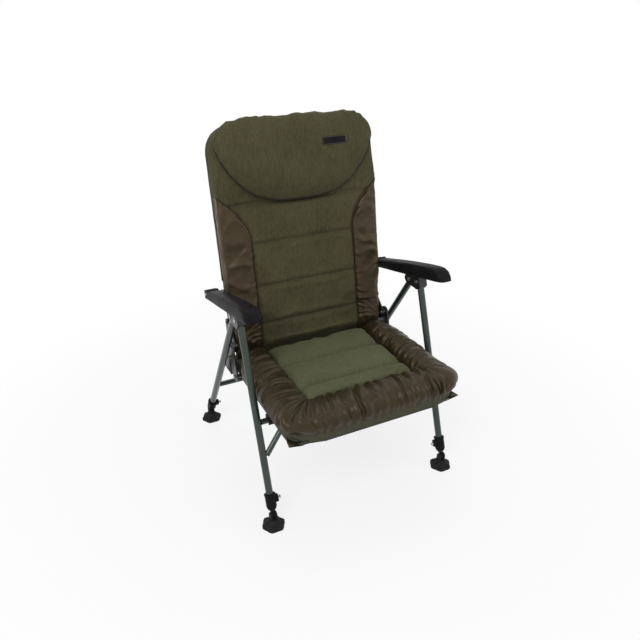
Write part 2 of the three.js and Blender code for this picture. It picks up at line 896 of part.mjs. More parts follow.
const pivotHole = rod(
  at(hinge.plateX - overrun, hinge.pivotY, hinge.pivotZ),
  at(plateOuter + overrun, hinge.pivotY, hinge.pivotZ),
  boreFor(hinge.pin / 2, pinSides),
);
bothSides(group, 'hinge_plate', join(cut(plateBlank, hingeSlot, pivotHole), ...plateBosses), blackSteel);

const knuckleOuter = hinge.knuckleX + hinge.knuckle;
const pinParts = [
  [hinge.knuckleX - clearance - hinge.headThickness / 2, plateOuter + clearance + hinge.headThickness / 2, hinge.pin],
  [hinge.knuckleX - clearance - hinge.headThickness, hinge.knuckleX - clearance, hinge.pinHead],
  [knuckleOuter + clearance, hinge.plateX - clearance, hinge.pinHead],
  [plateOuter + clearance, plateOuter + clearance + hinge.headThickness, hinge.pinHead],
].map(([from, to, size]) => rod(
  at(from, hinge.pivotY, hinge.pivotZ),
  at(to, hinge.pivotY, hinge.pivotZ),
  size / 2,
));
bothSides(group, 'hinge_pin', join(...pinParts), steelGrey);

// Back: everything below is built in a frame that starts at the hinge, with Z up the back and Y behind it
const backFrame = new THREE.Group();
backFrame.position.set(0, hinge.pivotY, hinge.pivotZ);
backFrame.rotation.x = -radians(back.lean);
group.add(backFrame);
const backRadius = back.tube / 2;

const backCorners = [
  at(-back.railX, back.railBack, back.railFoot),
  at(-back.railX, back.railBack, back.railTop),
  at(back.railX, back.railBack, back.railTop),
  at(back.railX, back.railBack, back.railFoot),
];
const backTubes = tubeFrame(
  backCorners,
  back.bend,
  backRadius,
  at(-back.railX, back.railBack, back.lowBar),
  at(back.railX, back.railBack, back.lowBar),
);
const armPinHoles = [-1, 1].map((sign) => rod(
  at(sign * (armPin.rootX - clearance), back.railBack, back.armUp),
  at(sign * legX, back.railBack, back.armUp),
  boreFor(armPin.radius, pinSides),
));
piece(backFrame, 'back_frame', cut(backTubes, ...armPinHoles), tubeGreen);

const knucklePlate = plateAlongX(wrap([
  [0, 0, hinge.knuckleLobe],
  [back.railBack, back.railFoot + hinge.knuckleLobe, hinge.knuckleLobe],
  [back.railBack, back.lowBar, hinge.knuckleLobe],
]), hinge.knuckleX, knuckleOuter);
const knuckleHole = rod(
  at(hinge.knuckleX - overrun, 0, 0),
  at(knuckleOuter + overrun, 0, 0),
  boreFor(hinge.pin / 2, pinSides),
);
const knuckleBolts = [back.railFoot + hinge.knuckleLobe, back.lowBar].map((z) => rod(
  at(knuckleOuter - hinge.knuckle / 2, back.railBack, z),
  at(knuckleOuter + hinge.headThickness, back.railBack, z),
  hinge.boltHead / 2,
));
bothSides(backFrame, 'back_knuckle', join(cut(knucklePlate, knuckleHole), ...knuckleBolts), blackSteel);

const slingFront = back.railBack - backRadius - clearance - backDeck.thickness;
const slingRear = slingFront + backDeck.thickness;
const slingInner = back.railX + backRadius + clearance;
const slingOuter = slingInner + backDeck.thickness;
const slingTop = back.railTop + backRadius + clearance;
const slingBend = back.bend + backRadius + clearance;

// An upright plate whose two top corners are rounded, as the tube's bends are
function archedPlate(half, fromY, toY, foot, top, bend) {
  const corners = sides.map(([, sign]) => rod(
    at(sign * (half - bend), fromY, top - bend),
    at(sign * (half - bend), toY, top - bend),
    boreFor(bend, lobeSides),
    lobeSides,
  ));
  const blank = box(at(-half, fromY, foot), at(half, toY, top - bend));
  return toGeometry(wasm.Manifold.hull([...corners, blank].map(toSolid)));
}

const slingShell = archedPlate(
  slingOuter,
  slingFront,
  slingFront + backDeck.skirt,
  backDeck.skirtFoot,
  slingTop + backDeck.thickness,
  slingBend + backDeck.thickness,
);
const slingRoom = archedPlate(
  slingInner,
  slingRear,
  slingRear + overrun,
  backDeck.skirtFoot - overrun,
  slingTop,
  slingBend,
);
const slingTail = box(
  at(-backDeck.halfWidth, slingFront, backDeck.foot),
  at(backDeck.halfWidth, slingRear, backDeck.skirtFoot + backDeck.thickness),
);
piece(backFrame, 'back_deck', join(cut(slingShell, slingRoom), slingTail), canvas);

// Seat pad: three sewn channels in a centre panel, inside a stuffed border with cut front corners
const bandShares = [0, 0.07, 0.2, 0.4, 0.6, 0.8, 0.93];
const borderShares = [0.1, 0.3, 0.6, 0.86, 1];
const panelShares = [-1, -0.94, -0.8, -0.55, -0.2, 0.2, 0.55, 0.8, 0.94, 1];
const padColumns = [
  ...borderShares.map((share) => -1 - share).reverse(),
  ...panelShares,
  ...borderShares.map((share) => 1 + share),
];

function bands(seams, closing) {
  const rows = seams.slice(0, -1).flatMap((from, i) => bandShares.map((share) => ({
    along: from + (seams[i + 1] - from) * share,
    band: i,
    share,
  })));
  return [...rows, ...closing];
}

function columnX(column, panelHalf, halfWidth) {
  const beyond = Math.abs(column) - 1;
  if (beyond <= 0) return column * panelHalf;
  return Math.sign(column) * (panelHalf + (halfWidth - panelHalf) * beyond);
}

function blend(value, from, to, start, end) {
  return start + (end - start) * THREE.MathUtils.smoothstep((value - from) / (to - from), 0, 1);
}

function seatHalfWidth(y) {
  if (y > seatPad.narrowY) return blend(y, seatPad.narrowY, seatPad.rearY, seatPad.halfWidth, seatPad.rearHalfWidth);
  if (y > seatPad.chamferY) return seatPad.halfWidth;
  const share = (seatPad.chamferY - y) / (seatPad.chamferY - seatPad.frontY);
  return seatPad.halfWidth + (seatPad.frontHalfWidth - seatPad.halfWidth) * share * share;
}

const seatSeams = [seatPad.rearY, seatPad.seamY1, seatPad.seamY2, seatPad.seamY3];
const frontBorder = borderShares.length;
const seatRows = bands(seatSeams, [0, ...borderShares].map((share) => ({
  along: seatPad.seamY3 + (seatPad.frontY - seatPad.seamY3) * share,
  band: frontBorder,
  share,
})));

// Draws the stretch beyond a seam in, so that it ends short of its own end by the inset
function drawIn(value, seam, end, inset) {
  const reach = end - seam;
  if ((value - seam) * reach < 0) return value;
  return seam + (value - seam) * (1 - inset / Math.abs(reach));
}

function seatPlace(row, column, inset) {
  const y = drawIn(drawIn(row.along, seatPad.seamY1, seatPad.rearY, inset), seatPad.seamY3, seatPad.frontY, inset);
  return at(columnX(column, seatPad.panelHalf, seatHalfWidth(row.along) - inset), y, 0);
}

function seatRise(row, column) {
  const beyond = Math.abs(column) - 1;
  const across = stuffed(Math.max(beyond, row.band === frontBorder ? row.share : 0));
  if (beyond > 0 || row.band === frontBorder) {
    return seatPad.seamRise + (seatPad.borderRise - seatPad.seamRise) * across;
  }
  const crown = stuffed(row.share) * stuffed((column + 1) / 2);
  return seatPad.seamRise + (seatPad.panelRise - seatPad.seamRise) * crown;
}

const sideShares = [0.35, 0.45];
const seatPadShape = cushion({
  rows: [...seatRows].reverse(),
  columns: padColumns,
  place: seatPlace,
  rise: seatRise,
  base: deckHigh + clearance,
  up: (plan, z) => at(plan.x, plan.y, z),
  sideShares,
  edgeInset: seatPad.edgeInset,
  edgeRise: seatPad.edgeRise,
  footInset: seatPad.footInset,
  bulgeRise: seatPad.bulgeRise,
});
piece(group, 'seat_pad', seatPadShape, nylon);

// Back pad: channels in the centre, smooth wings at the sides that end at the head, rounded top corners
function backHalfWidth(up) {
  if (up < backPad.wideUp) return blend(up, backPad.narrowUp, backPad.wideUp, backPad.footHalfWidth, backPad.halfWidth);
  if (up < backPad.roundUp) return backPad.halfWidth;
  const share = (up - backPad.roundUp) / (backPad.top - backPad.roundUp);
  return backPad.halfWidth + (backPad.topHalfWidth - backPad.halfWidth) * share * share;
}

function wingX(up) {
  if (up > backPad.wingUp) return blend(up, backPad.wingUp, backPad.top, backPad.wingHalf, backPad.headHalf);
  return blend(up, backPad.seamUp3, backPad.wingUp, backPad.panelHalf, backPad.wingHalf);
}

const backSeams = [backPad.foot, backPad.seamUp1, backPad.seamUp2, backPad.seamUp3, backPad.seamUp4];
const headBand = backSeams.length;
const headShares = [0, 0.3, 0.65, 0.9, 1];
const backRows = bands(backSeams, headShares.map((share) => ({
  along: backPad.seamUp4 + (backPad.top - backPad.seamUp4) * share,
  band: headBand,
  share,
})));

function backPlace(row, column, inset) {
  const z = drawIn(drawIn(row.along, backPad.seamUp1, backPad.foot, inset), backPad.seamUp4, backPad.top, inset);
  return at(columnX(column, wingX(row.along), backHalfWidth(row.along) - inset), 0, z);
}

function backRise(row, column) {
  if (row.band === headBand) return backPad.headRise;
  const beyond = Math.abs(column) - 1;
  if (beyond > 0) return backPad.seamRise + (backPad.borderRise - backPad.seamRise) * stuffed(beyond);
  const crown = stuffed(row.share) * stuffed((column + 1) / 2);
  return backPad.seamRise + (backPad.panelRise - backPad.seamRise) * crown;
}

const backPadShape = cushion({
  rows: backRows,
  columns: padColumns,
  place: backPlace,
  rise: backRise,
  base: 0,
  up: (plan, height) => at(plan.x, backPad.rear - height, plan.z),
  sideShares,
  edgeInset: backPad.edgeInset,
  edgeRise: backPad.edgeRise,
  footInset: backPad.footInset,
  bulgeRise: backPad.bulgeRise,
});
piece(backFrame, 'back_pad', backPadShape, fleece);

// Head pillow: straight along the top, with a level bottom that slants up to its two ends, stuffed highest at its middle
const pillowShares = [0, 0.06, 0.18, 0.34, 0.5, 0.66, 0.82, 0.94, 1];
const pillowColumnShares = [-1, -0.97, -0.9, -0.76, -0.58, -0.36, -0.12, 0.12, 0.36, 0.58, 0.76, 0.9, 0.97, 1];
const pillowBottomBend = 3;
const pillowBottomFall = 0.8;

function pillowPlace(row, column, inset) {
  const half = pillow.halfWidth - inset;
  const x = column * half;
  const depth = Math.pow(1 - Math.pow(Math.abs(column), pillowBottomBend), pillowBottomFall);
  const low = pillow.endUp - (pillow.endUp - pillow.bottomUp) * depth + inset;
  const high = pillow.topUp - pillow.shoulderDrop * Math.pow(Math.abs(column), 3) - inset;
  return at(x, 0, low + (high - low) * row.share);
}

function pillowRise(row, column) {
  const swell = stuffed(row.share) * stuffed((column + 1) / 2);
  return pillow.edge + (pillow.crown - pillow.edge) * swell;
}

const pillowShape = cushion({
  rows: pillowShares.map((share) => ({ share })),
  columns: pillowColumnShares,
  place: pillowPlace,
  rise: pillowRise,
  base: 0,
  up: (plan, height) => at(plan.x, pillow.rear - height, plan.z),
  sideShares,
  edgeInset: pillow.edgeInset,
  edgeRise: pillow.edge,
  footInset: pillow.edgeInset / 2,
  bulgeRise: pillow.edge / 2,
});
piece(backFrame, 'head_pillow', pillowShape, fleece);

// Armrest pivot on the back frame, in that frame's own directions
const pinShaft = rod(
  at(armPin.rootX, back.railBack, back.armUp),
  at(armX + arm.forkHalf + armPin.radius, back.railBack, back.armUp),
  armPin.radius,
);
const pinFlange = rod(
  at(slingInner + clearance * 2, back.railBack, back.armUp),
  at(armX - arm.forkHalf - armPin.radius - clearance, back.railBack, back.armUp),
  armPin.flange,
);
bothSides(backFrame, 'arm_pivot_pin', join(pinShaft, pinFlange), steelGrey);

// Armrests: a frame at each pivot, with -Y running forward along the arm and Z its upper side
const armPivot = at(0, back.railBack, back.armUp).applyEuler(backFrame.rotation).add(backFrame.position);
const armFrame = new THREE.Group();
armFrame.position.copy(armPivot);
armFrame.rotation.x = -radians(arm.slope);
group.add(armFrame);

// Stations along the arm: share of its length, height of its top and half its width
const armStations = [
  [0, arm.heelTop, arm.heelHalf],
  [0.17, arm.waistTop, arm.heelHalf],
  [0.32, arm.shoulderTop, arm.middleHalf],
  [0.47, arm.middleTop, arm.middleHalf],
  [0.7, arm.frontTop, arm.frontHalf],
  [0.85, arm.frontTop, arm.frontHalf],
  [0.91, arm.browTop, arm.frontHalf],
].map(([share, top, half]) => [arm.length * share, top, half]);
const noseShares = [[0.945, 0.82, 0.97], [0.975, 0.48, 0.86], [0.992, 0.2, 0.7], [1, 0.06, 0.5]];
const noseStations = noseShares.map(([along, height, width]) => [
  arm.length * along,
  arm.bottom + (arm.browTop - arm.bottom) * height,
  arm.frontHalf * width,
]);
const heelStation = [-arm.heelReach, arm.heelEndTop, arm.heelHalf];
const armRingShares = [
  [0.9, 0], [1, 0.12], [1, 0.62], [0.94, 0.86], [0.76, 0.97], [0.35, 1],
  [-0.35, 1], [-0.76, 0.97], [-0.94, 0.86], [-1, 0.62], [-1, 0.12], [-0.9, 0],
];
const armBody = skin([heelStation, ...armStations, ...noseStations].map(([along, top, half]) => armRingShares.map(([across, height]) => at(
  armX + across * half,
  -along,
  arm.bottom + (top - arm.bottom) * height,
))));
const armChannel = box(
  at(legX - arm.channelHalf, -arm.channelTo, arm.bottom - overrun),
  at(legX + arm.channelHalf, -arm.channelFrom, arm.channelTop),
);
const armFork = box(
  at(armX - arm.forkHalf, -arm.forkReach, arm.bottom - overrun),
  at(armX + arm.forkHalf, overrun, arm.bottom + overrun * 2),
);
const armForkFloor = box(
  at(armX - arm.forkHalf, -arm.channelFrom - clearance, arm.bottom - overrun),
  at(armX + arm.forkHalf, 0, -arm.forkRoof),
);
const armBore = rod(at(0, 0, 0), at(armX + overrun, 0, 0), boreFor(armPin.radius, pinSides));
bothSides(armFrame, 'armrest', cut(armBody, armChannel, armFork, armForkFloor, armBore), blackPlastic);

// Toothed rack under the armrest: the teeth lean so that the load of the back pulls them onto the pin
const toothCount = Math.floor((rack.to - rack.from) / rack.pitch);
const leanShare = 0.7;
const rackShape = new THREE.Shape();
const rackTop = arm.channelTop - clearance;
rackShape.moveTo(-rack.from, rackTop);
rackShape.lineTo(-rack.from, rack.root);
for (let i = 0; i < toothCount; i += 1) {
  const from = rack.from + i * rack.pitch;
  rackShape.lineTo(-(from + rack.pitch * (1 - leanShare)), rack.tip);
  rackShape.lineTo(-(from + rack.pitch / 2), rack.tip);
  rackShape.lineTo(-(from + rack.pitch * leanShare), rack.root);
  rackShape.lineTo(-(from + rack.pitch), rack.root);
}
rackShape.lineTo(-(rack.from + toothCount * rack.pitch), rackTop);
rackShape.closePath();
const rackBar = plateAlongX(rackShape, legX - rack.halfWidth, legX + rack.halfWidth);
bothSides(armFrame, 'arm_rack', rackBar, blackSteel);

// Pivot block inside the rear fork of the armrest
const blockHalf = arm.forkHalf - clearance;
const blockRound = rod(at(armX - blockHalf, 0, 0), at(armX + blockHalf, 0, 0), block.radius, tubeSides);
const blockTail = box(
  at(armX - blockHalf, 0, -block.tailHalf),
  at(armX + blockHalf, block.tail, block.tailHalf),
);
bothSides(armFrame, 'arm_block', cut(join(blockRound, blockTail), armBore), blackPlastic);

// The origin is under the middle of the chair, on the ground
group.updateMatrixWorld(true);
const bounds = new THREE.Box3().setFromObject(group, true);
const shift = at(0, -(bounds.min.y + bounds.max.y) / 2, -bounds.min.z);
for (const child of group.children) child.position.add(shift);

// Pivot centres in the finished frame, for whoever adds the joints
group.userData.pivots = {
  crossbar: barCentre.add(shift),
  apex: at(0, leg.rearPinY, leg.rearPinZ).add(shift),
  axle: axleCentre.add(shift),
  back: at(0, hinge.pivotY, hinge.pivotZ).add(shift),
  arm: armPivot.add(shift),
  frontFoot: at(legX, leg.frontJointY, leg.jointZ).add(shift),
  rearFoot: at(legX, leg.rearJointY, leg.jointZ).add(shift),
  rackPin: at(legX, bracket.pinY, bracket.pinZ).add(shift),
  frontLean,
  rearLean,
};

export default group;
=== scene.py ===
# Reclining fishing chair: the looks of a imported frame. Metres, +Z up, the sitter faces -Y.
import json
import math
from types import SimpleNamespace

import bmesh
import bpy
import numpy as np
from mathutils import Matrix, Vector
from mathutils.bvhtree import BVHTree


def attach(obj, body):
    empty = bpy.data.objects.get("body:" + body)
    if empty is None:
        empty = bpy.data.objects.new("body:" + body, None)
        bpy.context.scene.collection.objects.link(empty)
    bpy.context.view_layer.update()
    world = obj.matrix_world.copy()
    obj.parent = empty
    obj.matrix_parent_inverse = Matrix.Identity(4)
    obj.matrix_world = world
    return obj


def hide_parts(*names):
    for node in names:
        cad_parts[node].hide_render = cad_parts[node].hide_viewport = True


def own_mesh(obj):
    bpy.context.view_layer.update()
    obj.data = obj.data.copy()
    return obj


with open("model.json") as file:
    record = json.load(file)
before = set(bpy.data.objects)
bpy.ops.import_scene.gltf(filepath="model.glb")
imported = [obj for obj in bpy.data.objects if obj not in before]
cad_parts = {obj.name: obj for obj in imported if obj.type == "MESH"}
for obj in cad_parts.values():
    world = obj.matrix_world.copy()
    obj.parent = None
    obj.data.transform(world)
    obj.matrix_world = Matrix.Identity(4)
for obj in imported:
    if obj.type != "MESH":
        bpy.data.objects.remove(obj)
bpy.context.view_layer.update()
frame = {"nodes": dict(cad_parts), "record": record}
nodes = frame["nodes"]
scene = bpy.context.scene

# Places of the frame, as the solids have them
LEAN = math.radians(10.5)
HINGE_Y, HINGE_Z = 0.08343, 0.392
SEAT_BASE = 0.3188
BACK_REAR = 0.0329
RAIL_X = 0.238
RAIL_Z = 0.306
BACK_RAIL = 0.046

CLOTH_STEP = 0.005
SEAM_STEP, TUBE_STEP, SHEET_STEP = 0.006, 0.02, 0.025
BORDER_ROWS = 26
SWELL_FRAMES = 20
CLOSE = 1e-6
TINY = 1e-9
FOLD_REACH = 0.94  # folds end a little before the sewn edge of a border
SEAM_END = 0.004  # cords across a cushion end this far from its long seams
ROW_GAP = 0.005  # between a seam and the row of stitches beside it
ON_COVER = 0.0002  # the lift of stitches over a cover
STITCH = (0.0042, 0.00045)  # pitch and half thickness
HEM_STITCH = (0.0045, 0.0005)
SLEEVE = 0.0112  # radius of the cloth round a tube


def seat_place(x, y, rise):
    """A point over the seat: across, along, and up from the deck that the cushion lies on."""
    return (x, y, SEAT_BASE + rise)


def back_place(x, up, out):
    """A point of the leaning back: across, up along it from the hinge, and out towards the sitter."""
    return (
        x,
        HINGE_Y - out * math.cos(LEAN) + up * math.sin(LEAN),
        HINGE_Z + out * math.sin(LEAN) + up * math.cos(LEAN),
    )


# Materials
def add_node(tree, kind, **inputs):
    """A shader node whose inputs are set to values or joined to outputs of other nodes."""
    node = tree.nodes.new("ShaderNode" + kind)
    for key, value in inputs.items():
        socket = node.inputs[key.replace("_", " ")]
        if isinstance(value, bpy.types.NodeSocket):
            tree.links.new(value, socket)
        else:
            socket.default_value = value
    return node


def math_node(tree, operation, *values):
    """What an operation makes of two values, each a number or an output of another node."""
    node = add_node(tree, "Math")
    node.operation = operation
    for socket, value in zip(node.inputs, values):
        if isinstance(value, (int, float)):
            socket.default_value = value
        else:
            tree.links.new(value, socket)
    return node.outputs[0]


class Shader:
    """A node material that is built up in a few lines."""

    def __init__(self, name, color, roughness, metallic=0.0, **sockets):
        self.material = bpy.data.materials.new(name)
        self.material.use_nodes = True
        self.tree = self.material.node_tree
        self.tree.nodes.clear()
        self.bsdf = self.node("BsdfPrincipled", Base_Color=(*color, 1), Roughness=roughness,
                              Metallic=metallic, **sockets)
        self.node("OutputMaterial", Surface=self.bsdf.outputs[0])
        self.place = self.node("TexCoord").outputs["Object"]
        self.height = None

    def node(self, kind, **inputs):
        return add_node(self.tree, kind, **inputs)

    def mapped(self, scale, turn=(0, 0, 0)):
        return self.node("Mapping", Vector=self.place, Rotation=turn, Scale=scale).outputs[0]

    def noise(self, scale, detail, roughness, vector=None, distortion=0.0):
        return self.node("TexNoise", Vector=vector or self.place, Scale=scale, Detail=detail,
                         Roughness=roughness, Distortion=distortion).outputs["Fac"]

    def waves(self, scale, vector, direction):
        node = self.node("TexWave", Vector=vector, Scale=scale)
        node.bands_direction = direction
        return node.outputs["Fac"]

    def cells(self, scale):
        return self.node("TexVoronoi", Vector=self.place, Scale=scale).outputs["Distance"]

    def mixed(self, first, second, share):
        """Two heights added, the second one by its share."""
        parts = [math_node(self.tree, "MULTIPLY", *pair) for pair in ((first, 1 - share), (second, share))]
        return math_node(self.tree, "ADD", *parts)

    def ramp(self, value, *stops):
        """Colours or numbers along a value: each stop is (position, colour or number)."""
        node = self.node("ValToRGB", Fac=value)
        elements = node.color_ramp.elements
        while len(elements) < len(stops):
            elements.new(1.0)
        for element, (position, color) in zip(elements, stops):
            element.position = position
            if isinstance(color, (int, float)):
                color = (color, color, color)
            element.color = (*color, 1)
        return node.outputs[0]

    def tint(self, output):
        self.tree.links.new(output, self.bsdf.inputs["Base Color"])

    def rough(self, output):
        self.tree.links.new(output, self.bsdf.inputs["Roughness"])

    def bump(self, output, strength, distance):
        """Adds a height to the ones before it: distance is how far it stands out, in metres."""
        node = self.node("Bump", Strength=strength, Distance=distance, Height=output)
        if self.height:
            self.tree.links.new(self.height, node.inputs["Normal"])
        self.height = node.outputs[0]
        self.tree.links.new(self.height, self.bsdf.inputs["Normal"])


def fleece(name, dark, middle, light, lean):
    """Short-pile cloth: brushed streaks along the piece, a fine nap, and patches where the pile lies over."""
    m = Shader(name, middle, 0.95, Sheen_Weight=0.12, Sheen_Roughness=0.5, Sheen_Tint=PILE_SHEEN,
               Specular_IOR_Level=0.12)
    turned = (-lean, 0, 0)
    streaks = m.noise(1.0, 4, 0.62, m.mapped((230, 230, 22), turned))
    ribs = m.noise(1.0, 2, 0.5, m.mapped((620, 620, 60), turned))
    nap = m.noise(1300, 2, 0.6)
    clouds = m.noise(9, 4, 0.6)
    shade = m.mixed(m.mixed(streaks, clouds, 0.45), ribs, 0.22)
    m.tint(m.ramp(shade, (0.38, dark), (0.5, middle), (0.62, light)))
    m.bump(m.mixed(nap, ribs, 0.4), 0.5, 0.0007)
    m.bump(m.noise(75, 3, 0.5), 0.16, 0.0016)
    return m.material


def woven(name, dark, light, roughness, thread, lean, shine, relief, creased=0.12, gloss=(1, 1, 1)):
    """Plain weave: two crossing sets of threads, with the colour a little uneven from thread to thread."""
    m = Shader(name, light, roughness, Specular_IOR_Level=shine, Specular_Tint=(*gloss, 1))
    turned = m.mapped((1, 1, 1), (-lean, 0, 0))
    pitch = 1.0 / (thread * 2 * math.pi)
    weft = m.waves(pitch, turned, "X")
    warp = math_node(m.tree, "MAXIMUM", m.waves(pitch, turned, "Y"), m.waves(pitch, turned, "Z"))
    clouds = m.noise(16, 4, 0.6)
    fine = m.noise(420, 2, 0.5)
    m.tint(m.ramp(m.mixed(clouds, fine, 0.35), (0.36, dark), (0.64, light)))
    m.rough(m.ramp(clouds, (0.3, roughness - 0.05), (0.7, roughness + 0.08)))
    m.bump(m.mixed(weft, warp, 0.5), relief, 0.0003)
    m.bump(m.noise(110, 4, 0.55, None, 0.4), creased, 0.0022)
    return m.material


def painted(name, dark, light, roughness, metallic, coat):
    """Metallic paint on tube: a fine flake, faint changes of tone and a clear coat, duller in places."""
    m = Shader(name, light, roughness, metallic, Coat_Weight=coat, Coat_Roughness=0.14)
    flake = m.noise(1600, 1, 0.5)
    m.tint(m.ramp(m.mixed(m.noise(20, 4, 0.6), flake, 0.3), (0.3, dark), (0.7, light)))
    m.rough(m.ramp(m.noise(60, 3, 0.6), (0.3, roughness - 0.06), (0.75, roughness + 0.1)))
    m.bump(m.noise(380, 2, 0.5), 0.08, 0.0002)
    return m.material


def moulded(name, dark, light, roughness, grain, relief, shine):
    """Moulded plastic or rubber with a pebbled skin, a little duller where it is rubbed."""
    m = Shader(name, light, roughness, Specular_IOR_Level=shine)
    clouds = m.noise(35, 4, 0.6)
    m.tint(m.ramp(clouds, (0.3, dark), (0.72, light)))
    m.rough(m.ramp(clouds, (0.25, roughness - 0.07), (0.75, roughness + 0.1)))
    m.bump(m.ramp(m.cells(1.0 / grain), (0.0, 1.0), (0.75, 0.0)), relief, 0.0004)
    m.bump(m.noise(90, 3, 0.5), 0.05, 0.0006)
    return m.material


def metal(name, dark, light, roughness):
    """Bare or plated steel, with fine scratches that break up its shine."""
    m = Shader(name, light, roughness, 0.95)
    scratches = m.noise(1.0, 3, 0.6, m.mapped((40, 900, 900)))
    m.tint(m.ramp(m.noise(50, 4, 0.6), (0.3, dark), (0.7, light)))
    m.rough(m.ramp(scratches, (0.3, roughness - 0.08), (0.7, roughness + 0.12)))
    m.bump(scratches, 0.1, 0.0002)
    return m.material


PILE_SHEEN = (0.50, 0.52, 0.36, 1)
PILE = ((0.050, 0.045, 0.023), (0.067, 0.061, 0.031), (0.083, 0.079, 0.041))
SEAT_PILE = ((0.074, 0.078, 0.042), (0.091, 0.096, 0.052), (0.108, 0.115, 0.064))
NYLON = ((0.028, 0.019, 0.010), (0.047, 0.034, 0.019))
# Painted shade: the seat's nylon is the back's nylon made darker, for the key lamp that falls on the seat
# from above
SHADED_SEAT_NYLON = ((0.018, 0.012, 0.006), (0.031, 0.022, 0.011))
# Painted light: the same nylon made lighter for the side walls of the back cushion, as where the key lamp
# lights them
LIT_SIDE_NYLON = ((0.052, 0.036, 0.021), (0.080, 0.058, 0.037))
CANVAS = ((0.036, 0.038, 0.024), (0.060, 0.063, 0.041))
BAND = ((0.038, 0.037, 0.021), (0.058, 0.057, 0.034))
DARK_THREAD = ((0.012, 0.011, 0.007), (0.022, 0.020, 0.014))
TAN_SHINE = (1.0, 0.80, 0.58)
TAN_THREAD = ((0.085, 0.082, 0.050), (0.125, 0.120, 0.076))
fabrics = {
    "back_fleece": fleece("back_fleece", *PILE, LEAN),
    "seat_fleece": fleece("seat_fleece", *SEAT_PILE, math.radians(90)),
    # The seat's nylon is painted shade: a darker copy of the back's nylon
    "seat_nylon_painted_shade": woven("seat_nylon_painted_shade", *SHADED_SEAT_NYLON, 0.40, 0.0011, 0, 0.34, 0.1, 0.1, TAN_SHINE),
    "back_nylon": woven("back_nylon", *NYLON, 0.42, 0.0011, LEAN, 0.34, 0.1, 0.08, TAN_SHINE),
    # The back's side walls are painted light: a lighter copy of the back's nylon
    "back_side_painted_light": woven("back_side_painted_light", *LIT_SIDE_NYLON, 0.44, 0.0011, LEAN, 0.3, 0.1, 0.08, TAN_SHINE),
    "seat_canvas": woven("seat_canvas", *CANVAS, 0.74, 0.0016, 0, 0.22, 0.4),
    "back_canvas": woven("back_canvas", *CANVAS, 0.74, 0.0016, LEAN, 0.22, 0.4),
    "binding": woven("binding", *BAND, 0.7, 0.0019, 0, 0.25, 0.5),
    "piping": woven("piping", *DARK_THREAD, 0.7, 0.0009, 0, 0.25, 0.5),
    "thread": woven("thread", *TAN_THREAD, 0.6, 0.0007, 0, 0.3, 0.4),
}
BLACK = ((0.008, 0.007, 0.008), (0.015, 0.014, 0.015))
hard = {
    "tube_paint": painted("tube_paint", (0.019, 0.032, 0.025), (0.034, 0.049, 0.039), 0.3, 0.4, 0.3),
    "black_steel": painted("black_steel", (0.010, 0.010, 0.011), (0.022, 0.022, 0.023), 0.45, 0.4, 0.3),
    "bright_steel": metal("bright_steel", (0.34, 0.34, 0.33), (0.55, 0.55, 0.53), 0.34),
    "black_plastic": moulded("black_plastic", *BLACK, 0.42, 0.0017, 0.35, 0.04),
    "patch_rim": moulded("patch_rim", (0.045, 0.046, 0.040), (0.070, 0.071, 0.062), 0.5, 0.0012, 0.3, 0.2),
    "rubber": moulded("rubber", (0.009, 0.009, 0.009), (0.018, 0.018, 0.018), 0.62, 0.0024, 0.25, 0.12),
}
slot_of = {part["node"]: part["material_slot"] for part in frame["record"]["subparts"]}


def dress_solids():
    """Gives each rigid solid its finish, rounds its sharp edges a little and shades its round faces."""
    for name, obj in nodes.items():
        finish = hard.get(slot_of[name])
        if not finish:
            continue
        for holder in obj.material_slots:
            holder.material = finish
        for attribute in ("custom_normal", "sharp_edge", "sharp_face"):
            if attribute in obj.data.attributes:
                obj.data.attributes.remove(obj.data.attributes[attribute])
        obj.data.polygons.foreach_set("use_smooth", [True] * len(obj.data.polygons))
        weld = obj.modifiers.new("weld", "WELD")
        weld.merge_threshold = 0.00002
        round_off = obj.modifiers.new("round_off", "BEVEL")
        round_off.width = 0.0004
        round_off.segments = 2
        round_off.limit_method = "ANGLE"
        round_off.angle_limit = math.radians(38)
        round_off.harden_normals = True


# Meshes
def mesh_object(name, points, faces, materials, looks=None):
    mesh = bpy.data.meshes.new(name)
    mesh.from_pydata([tuple(p) for p in points], [], [tuple(int(i) for i in f) for f in faces])
    for material in materials:
        mesh.materials.append(material)
    if looks is not None:
        mesh.polygons.foreach_set("material_index", np.asarray(looks, dtype=np.int32))
    turned = bmesh.new()
    turned.from_mesh(mesh)
    bmesh.ops.recalc_face_normals(turned, faces=turned.faces)
    turned.to_mesh(mesh)
    turned.free()
    mesh.polygons.foreach_set("use_smooth", [True] * len(mesh.polygons))
    mesh.update()
    obj = bpy.data.objects.new(name, mesh)
    scene.collection.objects.link(obj)
    return obj


def grid_faces(rows, columns, start=0):
    """The faces over a grid of points that are listed row by row."""
    corners = [start + i * columns + j for i in range(rows - 1) for j in range(columns - 1)]
    return [(a, a + 1, a + columns + 1, a + columns) for a in corners]


def thicken(piece, thickness, offset):
    thick = piece.modifiers.new("thick", "SOLIDIFY")
    thick.thickness = thickness
    thick.offset = offset


def steps(stops, length):
    """Positions from the first stop to the last, every stop among them and no step longer than length."""
    found = [stops[0]]
    for a, b in zip(stops, stops[1:]):
        count = max(1, math.ceil(abs(b - a) / length - CLOSE))
        found += [a + (b - a) * i / count for i in range(1, count + 1)]
    return found


def blend(value, start, end, low, high):
    t = min(1.0, max(0.0, (value - start) / (end - start)))
    return low + (high - low) * t * t * (3 - 2 * t)


def puffed(share, power=2.5):
    """The height of a stuffed channel along its width: steep by its seams and level in its middle."""
    side = abs(2 * min(1.0, max(0.0, share)) - 1)
    return (1 - side**power) ** (1 / power)


